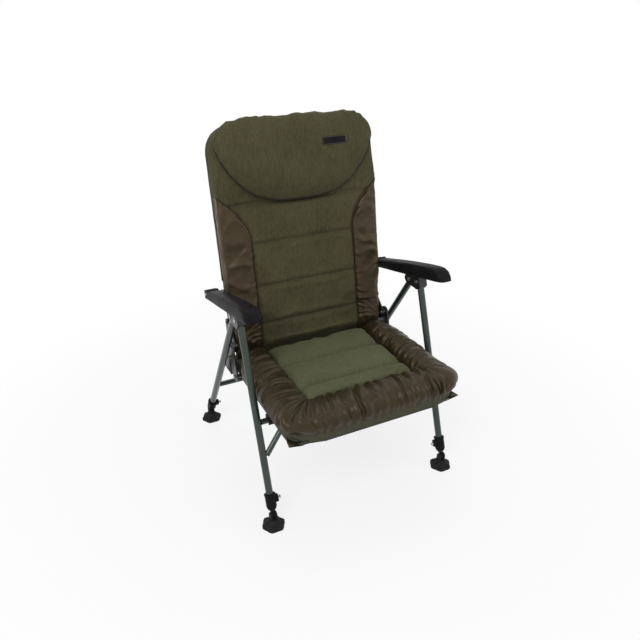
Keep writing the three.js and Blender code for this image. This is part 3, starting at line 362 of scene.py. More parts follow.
class Profile:
    """A smooth curve through knots (share of the width, height), read by the share of its length."""

    def __init__(self, *knots):
        knots = np.asarray(knots, float) * (0.1, 1)
        padded = np.vstack([2 * knots[0] - knots[1], knots, 2 * knots[-1] - knots[-2]])
        dense = []
        for p0, p1, p2, p3 in zip(padded, padded[1:], padded[2:], padded[3:]):
            for t in np.linspace(0, 1, 16, endpoint=False):
                bend = 2 * p1 + (p2 - p0) * t + (2 * p0 - 5 * p1 + 4 * p2 - p3) * t * t
                dense.append(0.5 * (bend + (3 * p1 - p0 - 3 * p2 + p3) * t**3))
        dense.append(knots[-1])
        self.curve = np.array(dense)
        legs = np.linalg.norm(np.diff(self.curve, axis=0), axis=1)
        self.along = np.concatenate([[0], np.cumsum(legs)]) / legs.sum()
        self.curve[:, 0] /= 0.1

    def at(self, t):
        return tuple(float(np.interp(t, self.along, self.curve[:, k])) for k in (0, 1))


# The end of a cushion as it turns down: the share of its depth, and the share of its height
TAPER = Profile((0, 1), (0.25, 0.86), (0.5, 0.56), (0.75, 0.31), (0.95, 0.18), (1.0, 0.1), (0.98, 0.0))
ROLL = Profile((0, 1), (0.35, 0.96), (0.7, 0.82), (0.95, 0.6), (1.0, 0.4), (0.93, 0.18), (0.78, 0.0))


class Creases:
    """The folds of slack cloth along a seam, each with its own place, width, depth, slant and reach."""

    def __init__(self, seed, length, spacing, width, depth, slant, near, far):
        chance = np.random.default_rng(seed)
        count = int(length / spacing * 1.4)
        gaps = chance.uniform(0.45, 1.55, count) * spacing
        self.place = np.cumsum(gaps)
        self.width = width * chance.uniform(0.6, 1.5, count)
        self.depth = depth * chance.uniform(0.35, 1.0, count)
        self.slant = slant * chance.uniform(-0.6, 1.0, count)
        self.near = chance.uniform(*near, count)
        self.far = chance.uniform(*far, count)
        self.wave = chance.uniform(0, 6.28, count)

    def at(self, along, out):
        """The height at a place along the seam and a share of the way out from it."""
        shift = self.slant * (out - 0.4) + 0.004 * np.sin(out * 7 + self.wave)
        side = np.abs(along - self.place - shift)
        rise = np.clip((out - self.near) / 0.16, 0, 1)
        fall = np.clip((self.far - out) / 0.22, 0, 1)
        fade = rise * rise * (3 - 2 * rise) * fall * fall * (3 - 2 * fall)
        hollow = -np.exp(-((side / self.width) ** 2))
        swell = 0.55 * np.exp(-(((side - 2.1 * self.width) / (1.3 * self.width)) ** 2))
        return float(np.sum(self.depth * fade * (hollow + swell)))


class Quilt:
    """A closed cushion over a grid of rows and columns, kept in its own frame (across, along, height)."""

    def __init__(self, name, rows, columns, shape, look, place, materials, foot_look):
        count = len(columns)
        made = [shape(row, column) for row in rows for column in columns]
        points = [list(m[0]) for m in made]
        relief = [m[1] for m in made]
        held = [k for k, m in enumerate(made) if m[2]]
        faces = grid_faces(len(rows), count)
        looks = [look(r, c) for r in zip(rows, rows[1:]) for c in zip(columns, columns[1:])]
        last = len(rows) - 1
        ring = list(range(count)) + [i * count + count - 1 for i in range(1, last + 1)]
        ring += [last * count + j for j in range(count - 2, -1, -1)]
        ring += [i * count for i in range(last - 1, 0, -1)]
        held += ring
        middle = np.mean([points[i] for i in ring], axis=0)
        while len(ring) > 12:
            pairs = [ring[k:k + 2] for k in range(0, len(ring), 2)]
            fresh = list(range(len(points), len(points) + len(pairs)))
            for pair in pairs:
                points.append(list(np.mean([points[i] for i in pair], axis=0) * 0.8 + middle * 0.2))
            for k, pair in enumerate(pairs):
                n = (k + 1) % len(pairs)
                if len(pair) == 2:
                    faces.append((pair[1], pair[0], fresh[k]))
                faces.append((pairs[n][0], pair[-1], fresh[k], fresh[n]))
            held += fresh
            ring = fresh
        points.append(list(middle))
        held.append(len(points) - 1)
        for k, i in enumerate(ring):
            faces.append((ring[(k + 1) % len(ring)], i, len(points) - 1))
        looks += [foot_look] * (len(faces) - len(looks))
        relief += [0.0] * (len(points) - len(relief))
        self.piece = mesh_object(name, points, faces, materials, looks)
        self.relief = np.array(relief)
        self.held = held
        self.place = place

    def coords(self):
        found = np.empty(len(self.piece.data.vertices) * 3, np.float32)
        self.piece.data.vertices.foreach_get("co", found)
        return found.reshape(-1, 3).astype(float)

    def write(self, coords):
        self.piece.data.vertices.foreach_set("co", np.asarray(coords, np.float32).ravel())
        self.piece.data.update()

    def stuff(self, limit, pressure, slack, cap):
        """Folds the cover, then swells it as slack cloth held at its seams, no point by more than cap."""
        normals = np.array([v.normal[:] for v in self.piece.data.vertices])
        self.write(self.coords() + normals * self.relief[:, None])
        rest = self.coords()
        group = self.piece.vertex_groups.new(name="held")
        group.add([int(i) for i in self.held], 1.0, "REPLACE")
        cloth = self.piece.modifiers.new("cloth", "CLOTH")
        settings = cloth.settings
        settings.quality = 6
        settings.mass = 0.25
        settings.tension_stiffness = settings.compression_stiffness = 22
        settings.shear_stiffness = 8
        settings.bending_stiffness = 0.4
        settings.use_pressure = True
        settings.uniform_pressure_force = pressure
        settings.vertex_group_mass = "held"
        settings.shrink_min = -slack
        settings.effector_weights.gravity = 0
        cloth.collision_settings.use_collision = False
        cloth.point_cache.frame_start = 1
        cloth.point_cache.frame_end = SWELL_FRAMES
        for number in range(1, SWELL_FRAMES + 1):
            scene.frame_set(number)
        shown = self.piece.evaluated_get(bpy.context.evaluated_depsgraph_get())
        swollen = shown.to_mesh()
        found = np.empty(len(swollen.vertices) * 3, np.float32)
        swollen.vertices.foreach_get("co", found)
        shown.to_mesh_clear()
        self.piece.modifiers.remove(cloth)
        self.piece.vertex_groups.remove(group)
        scene.frame_set(1)
        move = found.reshape(-1, 3).astype(float) - rest
        size = np.linalg.norm(move, axis=1, keepdims=True)
        move *= cap * np.tanh(size / cap) / np.maximum(size, TINY)
        self.write(limit(rest + move))

    def settle(self, body, node):
        """Puts the finished cushion in its place on the chair."""
        self.write([self.place(*p) for p in self.coords()])
        smooth = self.piece.modifiers.new("smooth", "SUBSURF")
        smooth.levels = smooth.render_levels = 1
        smooth.boundary_smooth = "PRESERVE_CORNERS"
        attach(self.piece, body)
        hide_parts(node)
        data = self.piece.data
        corners = [v.co[:] for v in data.vertices]
        self.tree = BVHTree.FromPolygons(corners, [p.vertices[:] for p in data.polygons])
        press(self.piece, body)

    def on_top(self, across, along, lift):
        """The point of the finished cover that lies out from a place of its frame, and its normal."""
        far, near = Vector(self.place(across, along, 0.2)), Vector(self.place(across, along, 0))
        place, normal, _, _ = self.tree.ray_cast(far, (near - far).normalized())
        if place is None:
            return None
        if normal.dot(far - near) < 0:
            normal = -normal
        return np.array(place + normal * lift), np.array(normal)


def ring_stops(profile, edge_rise):
    """Shares along a border, from its inner seam to its base, and the one where its band is sewn on."""
    shares = np.linspace(0.6, 1, 400)
    heights = np.array([profile.at(t)[1] for t in shares])
    edge = float(shares[np.argmin(np.abs(heights - edge_rise))])
    return edge, steps((0, edge, 1), 1 / BORDER_ROWS)[1:]


def across_columns(ring, panel):
    """Columns of a cushion: its left border, its panel and its right border."""
    return [-1 - t for t in reversed(ring)] + panel + [1 + t for t in ring]


def channel(value, seams):
    """How full the cushion is at a place between its seams, and how far the nearest seam is."""
    for a, b in zip(seams, seams[1:]):
        if min(a, b) - TINY <= value <= max(a, b) + TINY:
            return puffed((value - a) / (b - a)), min(abs(value - a), abs(value - b))
    return 0.0, 0.0


def pucker(along, gap):
    """The small gathers that stitching draws into cloth beside a seam."""
    waves = 0.5 + 0.5 * math.sin(along * 330 + 2.2 * math.sin(along * 71))
    return -0.0012 * math.exp(-((gap / 0.011) ** 2)) * waves


def near(value, stops):
    return any(abs(value - stop) < CLOSE for stop in stops)


def raised(table, full, column):
    """The height of a channel of a cushion: up from its seams to its crown, and down again at its sides."""
    return table.seam_rise + (table.crown - table.seam_rise) * full * puffed((column + 1) / 2, 5)


def boxed(points, half, along, rise):
    """The points held inside limits across, along and in height."""
    for k, (low, high) in enumerate(((-half, half), along, rise)):
        points[:, k] = np.clip(points[:, k], low, high)
    return points


def press(piece, body):
    """Gives a soft piece a mesh of its own, whichever body carries it."""
    if body == "seat":
        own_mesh(piece)
    else:
        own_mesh(piece)


# Seat cushion
SEAT = SimpleNamespace(
    rear=0.063, seam1=-0.0416, seam2=-0.1676, seam3=-0.2336, front=-0.3366,
    panel=0.164, half=0.263, rear_half=0.242, front_half=0.216,
    narrow=-0.0166, chamfer=-0.2726, corner=0.12, seam_rise=0.034, crown=0.056,
    roll=0.012, tuck=0.012, flare=0.012, lift=0.008, hang=0.029, band_face=-0.325,
    turn_in=0.13, flare_from=0.3, flare_to=0.62, corner_folds=0.25, behind=0.03,
)
SEAT_SEAMS = (SEAT.seam1, SEAT.seam2, SEAT.seam3)
SEAT_BORDER = Profile(
    (0, 0.034), (0.03, 0.047), (0.13, 0.0625), (0.34, 0.0675), (0.56, 0.0665), (0.76, 0.0595), (0.91, 0.049),
    (0.985, 0.037), (1.0, 0.026), (0.988, 0.017), (0.966, 0.011), (0.975, 0.006), (0.968, 0.002), (0.95, 0.0))
SEAT_EDGE, seat_ring = ring_stops(SEAT_BORDER, edge_rise=0.011)
SEAT_SIDE = SEAT.rear - SEAT.seam3
SEAT_TURN = SEAT_SIDE + SEAT.corner
seat_folds = Creases(seed=7, length=1.3, spacing=0.030, width=0.0046, depth=0.0078, slant=0.040,
                     near=(-0.1, 0.12), far=(0.5, 1.1))
seat_gathers = Creases(seed=19, length=1.3, spacing=0.019, width=0.0040, depth=0.0048, slant=0.010,
                       near=(0.4, 0.65), far=(0.95, 1.2))


def seat_half(y):
    if y > SEAT.narrow:
        return blend(y, SEAT.narrow, SEAT.rear, SEAT.half, SEAT.rear_half)
    if y > SEAT.chamfer:
        return SEAT.half
    share = (SEAT.chamfer - y) / (SEAT.chamfer - SEAT.front)
    return SEAT.half + (SEAT.front_half - SEAT.half) * share * share


def seat_along(column, y, side, ahead):
    """How far round the border a point lies, from the left rear past the front to the right rear."""
    turn = 2 / math.pi * math.atan2(ahead, side) if side > 0 else 1.0
    if not ahead:
        found = SEAT.rear - y
    elif side:
        found = SEAT_SIDE + SEAT.corner * turn
    else:
        return SEAT_TURN + SEAT.panel * (1 + column)
    return found if column < 0 else 2 * (SEAT_TURN + SEAT.panel) - found


def seat_shape(row, column):
    kind, value = row
    side = max(0.0, abs(column) - 1)
    ahead = value if kind == "front" else 0.0
    ring = max(side, ahead)
    y = value if kind == "panel" else SEAT.seam3
    fall = 1.0
    if kind == "rear":
        depth, fall = ROLL.at(value)
        y = SEAT.rear - SEAT.roll * (1 - depth)
    share, rise = SEAT_BORDER.at(ring)
    corner = min(side, ahead) / ring if ring else 0.0
    low = blend(ring, SEAT_EDGE - SEAT.turn_in, SEAT_EDGE, 0, 1)
    out = blend(ring, SEAT.flare_from, SEAT.flare_to, 0, 1) * (1 - low)
    shift = corner * (SEAT.flare * out - SEAT.tuck * low)
    if ahead:
        y = SEAT.seam3 + (SEAT.front - SEAT.seam3) * share * ahead / ring - shift
    half = seat_half(y)
    if side:
        x = SEAT.panel + (half - SEAT.panel) * share * side / ring + shift
    else:
        x = abs(column) * SEAT.panel
    relief = 0.0
    if ring:
        band = blend(ring, SEAT_EDGE, 1, 0, 1)
        height = rise + SEAT.lift * blend(y, SEAT.seam3, SEAT.front, 0, 1) * ring * (1 - band)
        if band:
            height -= SEAT.hang * math.sin(math.pi * band) ** 0.6 * blend(ahead / ring, 0.2, 0.9, 0, 1)
        along = seat_along(column, y, side, ahead)
        reach = ring / SEAT_EDGE * FOLD_REACH
        relief = seat_folds.at(along, reach) + seat_gathers.at(along, reach)
        relief *= 1 + SEAT.corner_folds * corner
    else:
        full, gap = channel(y, (SEAT.rear + SEAT.behind, *SEAT_SEAMS))
        height = raised(SEAT, full, column)
        relief = pucker(x * math.copysign(1, column), gap) + 0.7 * pucker(y, SEAT.panel - x)
    banded = ring > SEAT_EDGE - CLOSE
    if banded:
        relief = 0.0
    seam = near(ring, (0.0,)) and (near(abs(column), (1.0,)) or near(y, SEAT_SEAMS))
    return (math.copysign(x, column), y, height * fall), relief * fall, seam or banded


def seat_look(row, column):
    side = max(0.0, abs(sum(column) / 2) - 1)
    ahead = max(0.0, sum(r[1] if r[0] == "front" else 0.0 for r in row) / 2)
    ring = max(side, ahead)
    if ring > SEAT_EDGE:
        return 3
    # The border takes the seat's nylon, a darker copy of the back's nylon that stands for painted shade
    return int(ring > 0)


panel_columns = steps((-1, 1), CLOTH_STEP / SEAT.panel)
end_rows = (1, 0.8, 0.6, 0.4, 0.2)
seat_rows = [("rear", t) for t in end_rows]
seat_rows += [("panel", y) for y in steps((SEAT.rear - SEAT.roll, *SEAT_SEAMS), CLOTH_STEP)]
seat_rows += [("front", t) for t in seat_ring]
seat_columns = across_columns(seat_ring, panel_columns)
seat_cloths = [fabrics[name] for name in ("seat_fleece", "seat_nylon_painted_shade", "seat_canvas", "binding")]
seat_cushion = Quilt("seat_cushion", seat_rows, seat_columns, seat_shape, seat_look, seat_place,
                     seat_cloths, 2)


def keep_seat(points):
    """Holds the swollen seat cushion inside the space that is its own."""
    half = np.array([seat_half(max(SEAT.front, y)) for y in points[:, 1]])
    half += np.interp(points[:, 1], (SEAT.front, SEAT.chamfer, SEAT.seam3), (0.010, 0.009, 0.002))
    floor = np.where(points[:, 1] > SEAT.band_face, 0.0, -SEAT.hang)
    return boxed(points, half, (SEAT.front - 0.006, SEAT.rear), (floor, np.inf))


seat_cushion.stuff(keep_seat, pressure=4.0, slack=0.03, cap=0.012)
seat_cushion.settle("seat", "seat_pad")

# Back cushion
BACK = SimpleNamespace(
    foot=-0.06, seam1=0.047, seam2=0.158, seam3=0.283, seam4=0.394, wing=0.424,
    top=0.622, foot_half=0.243, half=0.251, top_half=0.186, narrow=0.08, wide=0.15,
    round=0.535, curve=0.29, panel=0.162, wing_half=0.2485, head_half=0.16,
    seam_rise=0.026, crown=0.045, roll=0.012, foot_roll=0.054, below=0.02, head_rise=0.036,
    tuck=0.066, tuck_width=0.007, tuck_depth=0.0105, tuck_swell=0.004, pinned=0.03,
)
BACK_SEAMS = (BACK.seam1, BACK.seam2, BACK.seam3)
BACK_BORDER = Profile(
    (0, 0.028), (0.05, 0.0375), (0.2, 0.0435), (0.45, 0.0455), (0.68, 0.0445), (0.86, 0.04), (0.955, 0.034),
    (0.995, 0.026), (1.0, 0.014), (0.985, 0.003), (0.95, 0.0))
HEAD_BORDER = Profile(
    (0, 0.036), (0.3, 0.036), (0.55, 0.035), (0.78, 0.0315), (0.93, 0.025), (1.0, 0.015), (0.97, 0.006),
    (0.9, 0.0))
BACK_EDGE, back_ring = ring_stops(BACK_BORDER, edge_rise=0.034)
wing_folds = {
    -1: Creases(seed=23, length=0.5, spacing=0.048, width=0.0085, depth=0.0042, slant=0.05,
                near=(0.0, 0.3), far=(0.6, 1.1)),
    1: Creases(seed=41, length=0.5, spacing=0.044, width=0.0085, depth=0.0046, slant=0.05,
               near=(0.0, 0.3), far=(0.6, 1.1)),
}
wing_gathers = Creases(seed=57, length=0.5, spacing=0.015, width=0.0036, depth=0.0016, slant=0.006,
                       near=(-0.15, -0.1), far=(0.14, 0.34))
crumples = Creases(seed=63, length=0.3, spacing=0.011, width=0.0034, depth=0.0052, slant=0.03,
                   near=(-0.1, 0.3), far=(0.6, 1.1))


def back_half(up):
    if up < BACK.wide:
        return blend(up, BACK.narrow, BACK.wide, BACK.foot_half, BACK.half)
    if up < BACK.round:
        return BACK.half
    share = (up - BACK.round) / (BACK.top - BACK.round)
    return BACK.half + (BACK.top_half - BACK.half) * share**2.4


def wing_x(up):
    if up > BACK.wing:
        return blend(up, BACK.wing, BACK.top, BACK.wing_half, BACK.head_half)
    share = max(0.0, (up - BACK.curve) / (BACK.wing - BACK.curve))
    return BACK.panel + (BACK.wing_half - BACK.panel) * share**1.9


def back_shape(row, column):
    kind, value = row
    up, fall = value, 1.0
    if kind == "foot":
        depth, fall = TAPER.at(value)
        up = BACK.foot + BACK.foot_roll * (1 - depth)
    if kind == "top":
        depth, fall = ROLL.at(value)
        up = BACK.top - BACK.roll * (1 - depth)
    side = max(0.0, abs(column) - 1)
    hand = -1 if column < 0 else 1
    panel, half = wing_x(up), back_half(up)
    head = blend(up, BACK.seam4 - 0.02, BACK.wing + 0.01, 0.0, 1.0)
    relief = 0.0
    if side:
        low_share, low_rise = BACK_BORDER.at(side)
        high_share, high_rise = HEAD_BORDER.at(side)
        x = panel + (half - panel) * (low_share + (high_share - low_share) * head)
        height = low_rise + (high_rise - low_rise) * head
        if side < BACK_EDGE:
            out = side / BACK_EDGE * FOLD_REACH
            along = up - BACK.foot
            relief = wing_folds[hand].at(along, out) * (1 - head)
            relief += wing_gathers.at(along, out)
            gap = (up - BACK.tuck) / BACK.tuck_width
            fold = BACK.tuck_swell * math.exp(-(((gap - 2.2) / 1.6) ** 2))
            fold -= BACK.tuck_depth * math.exp(-(gap**2))
            relief += math.sin(math.pi * min(1.0, out)) ** 0.5 * fold
            if up < BACK.tuck:
                relief += crumples.at(along + 0.04 * out, out)
            relief *= min(1.0, (half - panel) / 0.05)
    else:
        x = abs(column) * panel
        if up < BACK.seam4:
            full, gap = channel(up, (BACK.foot + BACK.below, *BACK_SEAMS, BACK.seam4))
            height = raised(BACK, full, column)
            relief = pucker(x * hand, gap) + 0.6 * pucker(up, panel - x)
        else:
            height = blend(up, BACK.seam4, BACK.seam4 + 0.012, BACK.seam_rise, BACK.head_rise)
    held = near(side, (BACK_EDGE, 1.0)) or near(abs(column), (1.0,)) or not side and near(up, BACK_SEAMS)
    return (math.copysign(x, column), up, height * fall), relief * fall, held or up > BACK.wing + BACK.pinned


def back_look(row, column):
    kind, value = row[0]
    side = abs(sum(column) / 2) - 1
    if side > 0 and (kind == "foot" or kind == "panel" and value < BACK.wing - CLOSE):
        # The side walls take the lighter copy of the nylon, which is painted light
        return 3 if side > BACK_EDGE else 1
    return 0


back_stops = (BACK.foot + BACK.foot_roll, *BACK_SEAMS, BACK.seam4, BACK.wing,
              BACK.top - BACK.roll)
back_rows = [("foot", t) for t in end_rows] + [("panel", up) for up in steps(back_stops, CLOTH_STEP)]
back_rows += [("top", t) for t in reversed(end_rows)]
back_columns = across_columns(back_ring, panel_columns)
back_cloths = [fabrics[name] for name in ("back_fleece", "back_nylon", "back_canvas", "back_side_painted_light")]
back_cushion = Quilt("back_cushion", back_rows, back_columns, back_shape, back_look,
                     lambda x, up, rise: back_place(x, up, rise - BACK_REAR), back_cloths, 2)


def keep_back(points):
    """Holds the swollen back cushion inside the space that is its own."""
    half = np.array([back_half(min(BACK.top, up)) for up in points[:, 1]]) + 0.003
    return boxed(points, half, (BACK.foot - 0.002, BACK.top + 0.002), (0.0, np.inf))


back_cushion.stuff(keep_back, pressure=4.0, slack=0.02, cap=0.009)
back_cushion.settle("back", "back_pad")

# Head cushion
PILLOW = SimpleNamespace(
    half=0.24, end=0.556, bottom=0.398, top=0.628, shoulder=0.064, base=0.0034, crown=0.038, edge=0.005,
)
pillow_gathers = Creases(seed=71, length=0.6, spacing=0.026, width=0.005, depth=0.0022, slant=0.02,
                         near=(-0.15, -0.1), far=(0.1, 0.34))
top_gathers = Creases(seed=87, length=0.6, spacing=0.034, width=0.0065, depth=0.0048, slant=0.015,
                      near=(0.55, 0.75), far=(1.3, 1.5))


def pillow_low(column):
    depth = (1 - abs(column) ** 3) ** 0.8
    return PILLOW.end - (PILLOW.end - PILLOW.bottom) * depth


def pillow_high(column):
    wave = 0.0022 * math.sin(column * 9.5 + 0.6) + 0.0016 * math.sin(column * 21 + 2.0)
    return PILLOW.top - PILLOW.shoulder * abs(column) ** 8 + wave * (1 - abs(column) ** 6)


def pillow_shape(row, column):
    low, high = pillow_low(column), pillow_high(column)
    swell = puffed(row, 2.1 if row < 0.5 else 3.6) * puffed((column + 1) / 2, 2.6)
    x = column * PILLOW.half
    along = x + PILLOW.half
    relief = (pillow_gathers.at(along, row) + top_gathers.at(along, row)) * min(1.0, 3 * swell)
    height = PILLOW.edge + (PILLOW.crown - PILLOW.edge) * swell
    return (x, low + (high - low) * row, height), relief, near(row, (0.0, 1.0)) or near(abs(column), (1.0,))


def eased(count):
    """Shares from 0 to 1 that lie closer together towards both ends."""
    bend = [math.cos(math.pi * i / count) for i in range(count + 1)]
    return [0.5 - 0.5 * math.copysign(abs(b) ** 0.9, b) for b in bend]


pillow_rows = eased(round(0.2 / CLOTH_STEP))
pillow_columns = [2 * s - 1 for s in eased(round(0.48 / CLOTH_STEP))]
head_cushion = Quilt("head_cushion", pillow_rows, pillow_columns, pillow_shape, lambda row, column: 0,
                     lambda x, up, rise: back_place(x, up, PILLOW.base + rise), [fabrics["back_fleece"]], 0)


def keep_head(points):
    """Holds the swollen head cushion inside the space that is its own."""
    return boxed(points, PILLOW.half + 0.003, (-np.inf, PILLOW.top + 0.002), (0.0, PILLOW.crown + 0.006))


head_cushion.stuff(keep_head, pressure=3.0, slack=0.01, cap=0.008)
head_cushion.settle("back", "head_pillow")


# Seams: piping and stitches that lie on the finished covers
def add_tube(points, faces, path, radius, sides, capped=True):
    """Adds a tube whose rings of points turn as little as may be from one to the next."""
    path = [Vector(p) for p in path]
    start, side = len(points), None
    turns = [2 * math.pi * j / sides for j in range(sides)]
    for k, point in enumerate(path):
        along = path[min(k + 1, len(path) - 1)] - path[max(k - 1, 0)]
        along.normalize()
        if side is None:
            side = along.orthogonal().normalized()
        side = (side - along * side.dot(along)).normalized()
        other = along.cross(side)
        size = radius(k) if callable(radius) else radius
        points += [tuple(point + size * (side * math.cos(t) + other * math.sin(t))) for t in turns]
    last = len(points) - sides
    for row in range(start, last, sides):
        for j in range(sides):
            a, b = row + j, row + (j + 1) % sides
            faces.append((a, b, b + sides, a + sides))
    if capped:
        faces += [tuple(range(start, start + sides)), tuple(range(last, last + sides))]


def lay(cushion, lines, lift=0.0):
    """Lines of places of a cushion's frame, laid on its finished cover: each point and its normal."""
    laid = [[cushion.on_top(across, along, lift) for across, along in line] for line in lines]
    return [[found for found in line if found] for line in laid]


def sewn_piece(name, points, faces, material, body):
    piece = mesh_object(name, points, faces, [material])
    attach(piece, body)
    return piece


def cords(name, lines, radius, body):
    """Piping along seams, each line a list of points and normals."""
    points, faces = [], []
    for line in lines:
        if len(line) > 2:
            add_tube(points, faces, [p for p, _ in line], radius, 6)
    press(sewn_piece(name, points, faces, fabrics["piping"], body), body)


def read(value, positions, rows):
    """The row of numbers at a position between the given ones."""
    return np.array([np.interp(value, positions, rows[:, k]) for k in range(3)])


def stitches(name, lines, body, padded=True):
    """Rows of thread: each stitch is a low lens that dips into the cloth at both ends."""
    pitch, size = STITCH if padded else HEM_STITCH
    points, faces = [], []
    for line in lines:
        places = np.array([p for p, _ in line], float)
        normals = np.array([n for _, n in line], float)
        if len(places) < 3:
            continue
        legs = np.concatenate([[0], np.cumsum(np.linalg.norm(np.diff(places, axis=0), axis=1))])
        for start in np.arange(0, legs[-1] - pitch, pitch):
            ends = [read(start + share * pitch, legs, places) for share in (0.1, 0.85)]
            up = read(start + 0.5 * pitch, legs, normals)
            along = ends[1] - ends[0]
            side = np.cross(along, up)
            side /= max(np.linalg.norm(side), TINY)
            middle = (ends[0] + ends[1]) / 2
            n = len(points)
            points += [ends[0] - up * size, ends[1] - up * size, middle + side * size, middle - side * size,
                       middle + up * size, middle - up * size]
            faces += [(n, n + 2, n + 4), (n, n + 4, n + 3), (n + 1, n + 4, n + 2), (n + 1, n + 3, n + 4),
                      (n, n + 5, n + 2), (n, n + 3, n + 5), (n + 1, n + 2, n + 5), (n + 1, n + 5, n + 3)]
    piece = sewn_piece(name, points, faces, fabrics["thread"], body)
    if padded:
        press(piece, body)


def span(start, end):
    return steps((start, end), SEAM_STEP)


seat_rim = [(-SEAT.panel, y) for y in span(SEAT.rear - 0.02, SEAT.seam3)]
seat_rim += [(x, SEAT.seam3) for x in span(-SEAT.panel, SEAT.panel)[1:-1]]
seat_rim += [(SEAT.panel, y) for y in span(SEAT.seam3, SEAT.rear - 0.02)]
across_seat = span(-SEAT.panel + SEAM_END, SEAT.panel - SEAM_END)
seat_lines = [[(x, seam) for x in across_seat] for seam in SEAT_SEAMS[:2]]
cords("seat_piping", lay(seat_cushion, [seat_rim], lift=0.0008), radius=0.0019, body="seat")
cords("seat_seams", lay(seat_cushion, seat_lines, lift=0.0013), radius=0.0018, body="seat")
inner_end = SEAT.seam3 + ROW_GAP
inner_rim = [(x * 0.966, y if abs(x) < SEAT.panel - CLOSE else max(y, inner_end)) for x, y in seat_rim]
inner_rim = [(x, y + ROW_GAP if near(y, (SEAT.seam3,)) else y) for x, y in inner_rim]
stitches("seat_stitches", lay(seat_cushion, [inner_rim], ON_COVER), "seat")

up_wing = span(BACK.foot + BACK.below, BACK.wing)
wing_lines = [[(hand * wing_x(up), up) for up in up_wing] for hand in (-1, 1)]
across_back = span(-BACK.panel + SEAM_END, BACK.panel - SEAM_END)
back_lines = [[(x, seam) for x in across_back] for seam in BACK_SEAMS]
cords("back_piping", lay(back_cushion, wing_lines), radius=0.0021, body="back")
cords("back_seams", lay(back_cushion, back_lines, lift=0.0011), radius=0.0017, body="back")
inner_wings = [[(x * 0.968, up) for x, up in line] for line in wing_lines]
stitches("back_stitches", lay(back_cushion, inner_wings, ON_COVER), "back")

pillow_edge = [2 * s - 1 for s in eased(110)]
pillow_rise = PILLOW.base + PILLOW.edge
pillow_line = [(back_place(c * PILLOW.half, pillow_low(c) - 0.0005, pillow_rise), None)
               for c in pillow_edge]
pillow_row = [(c * PILLOW.half * 0.975, pillow_low(c) + 0.007) for c in pillow_edge]
cords("head_piping", [pillow_line], radius=0.0022, body="back")
stitches("head_stitches", lay(head_cushion, [pillow_row], ON_COVER), "back")

# The plain patch on the head cushion
PATCH = SimpleNamespace(x=0.0995, up=0.5485, half_x=0.0385, half_up=0.0118, thick=0.0016, rim=0.0022)


def make_patch():
    across, along = 49, 17
    points, looks = [], []
    for i in range(along):
        for j in range(across):
            u, v = 2 * j / (across - 1) - 1, 2 * i / (along - 1) - 1
            round_off = 1 - 0.035 * max(0.0, abs(u) - 0.9) * 10 * abs(v) ** 6
            x, up = PATCH.x + u * PATCH.half_x, PATCH.up + v * PATCH.half_up * round_off
            found = head_cushion.on_top(x, up, 0)
            gap = min((1 - abs(u)) * PATCH.half_x, (1 - abs(v)) * PATCH.half_up)
            lift = PATCH.thick * (1.0 if gap < PATCH.rim else 0.55)
            if gap < TINY:
                lift = -0.0004
            points.append(found[0] + found[1] * lift)
    for i in range(along - 1):
        for j in range(across - 1):
            inside = 0 < j < across - 2 and 0 < i < along - 2
            looks.append(int(inside and (i in (1, along - 3) or j in (1, across - 3))))
    piece = mesh_object("head_patch", points, grid_faces(along, across),
                        [hard["black_plastic"], hard["patch_rim"]], looks)
    thicken(piece, 0.0006, -1)
    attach(piece, "back")
    press(piece, "back")


make_patch()


# Slings: cloth stretched between sleeves that are turned round the tubes
def rail_path(foot, end, rise, bend):
    """The middle line of a frame's tube: along one rail, across its end and back, its corners rounded."""
    turns = ((-RAIL_X, foot), (-RAIL_X, end), (RAIL_X, end), (RAIL_X, foot))
    corners = [np.array((x, y, rise), float) for x, y in turns]
    found = [corners[0]]
    for before, at, after in zip(corners, corners[1:], corners[2:]):
        into, out = before - at, after - at
        into, out = into / np.linalg.norm(into), out / np.linalg.norm(out)
        start, end = at + into * bend, at + out * bend
        centre = start + out * bend
        found.append(start)
        for t in np.linspace(0, math.pi / 2, 9)[1:-1]:
            found.append(centre - out * bend * math.cos(t) - into * bend * math.sin(t))
        found.append(end)
    found.append(corners[-1])
    dense = [found[0]]
    for a, b in zip(found, found[1:]):
        count = max(1, math.ceil(np.linalg.norm(b - a) / TUBE_STEP))
        dense += [a + (b - a) * i / count for i in range(1, count + 1)]
    return dense


sleeve_waves = np.random.default_rng(5).uniform(-1, 1, 400)


def sleeve_radius(k):
    """The radius of ring k of a sleeve, a little uneven as sewn cloth is."""
    return SLEEVE + 0.00035 * float(sleeve_waves[k % 400])


def sling(name, path, sheet_lines, ears, place, material, body, node):
    """One stretched cloth: its sleeves round the path, and the sheet between them."""
    points, faces = [], []
    add_tube(points, faces, [place(*p) for p in path], sleeve_radius, 18, capped=False)
    start, count = len(points), len(sheet_lines[0])
    points += [place(*p) for line in sheet_lines for p in line]
    faces += grid_faces(len(sheet_lines), count, start)
    looks = [0] * len(faces)
    for tip, upper, lower in ears:
        n = len(points)
        points += [place(*tip)] + [place(*p) for p in upper] + [place(*p) for p in lower]
        size = len(upper)
        for k in range(size - 1):
            faces.append((n, n + 1 + k, n + 2 + k))
            faces.append((n, n + 2 + size + k, n + 1 + size + k))
            looks += [1, 0]
    # The tips' upper faces take the seat's nylon, which is painted darker as shade
    piece = mesh_object(name, points, faces, [material, fabrics["seat_nylon_painted_shade"]], looks)
    thicken(piece, 0.0012, 0)
    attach(piece, body)
    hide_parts(node)


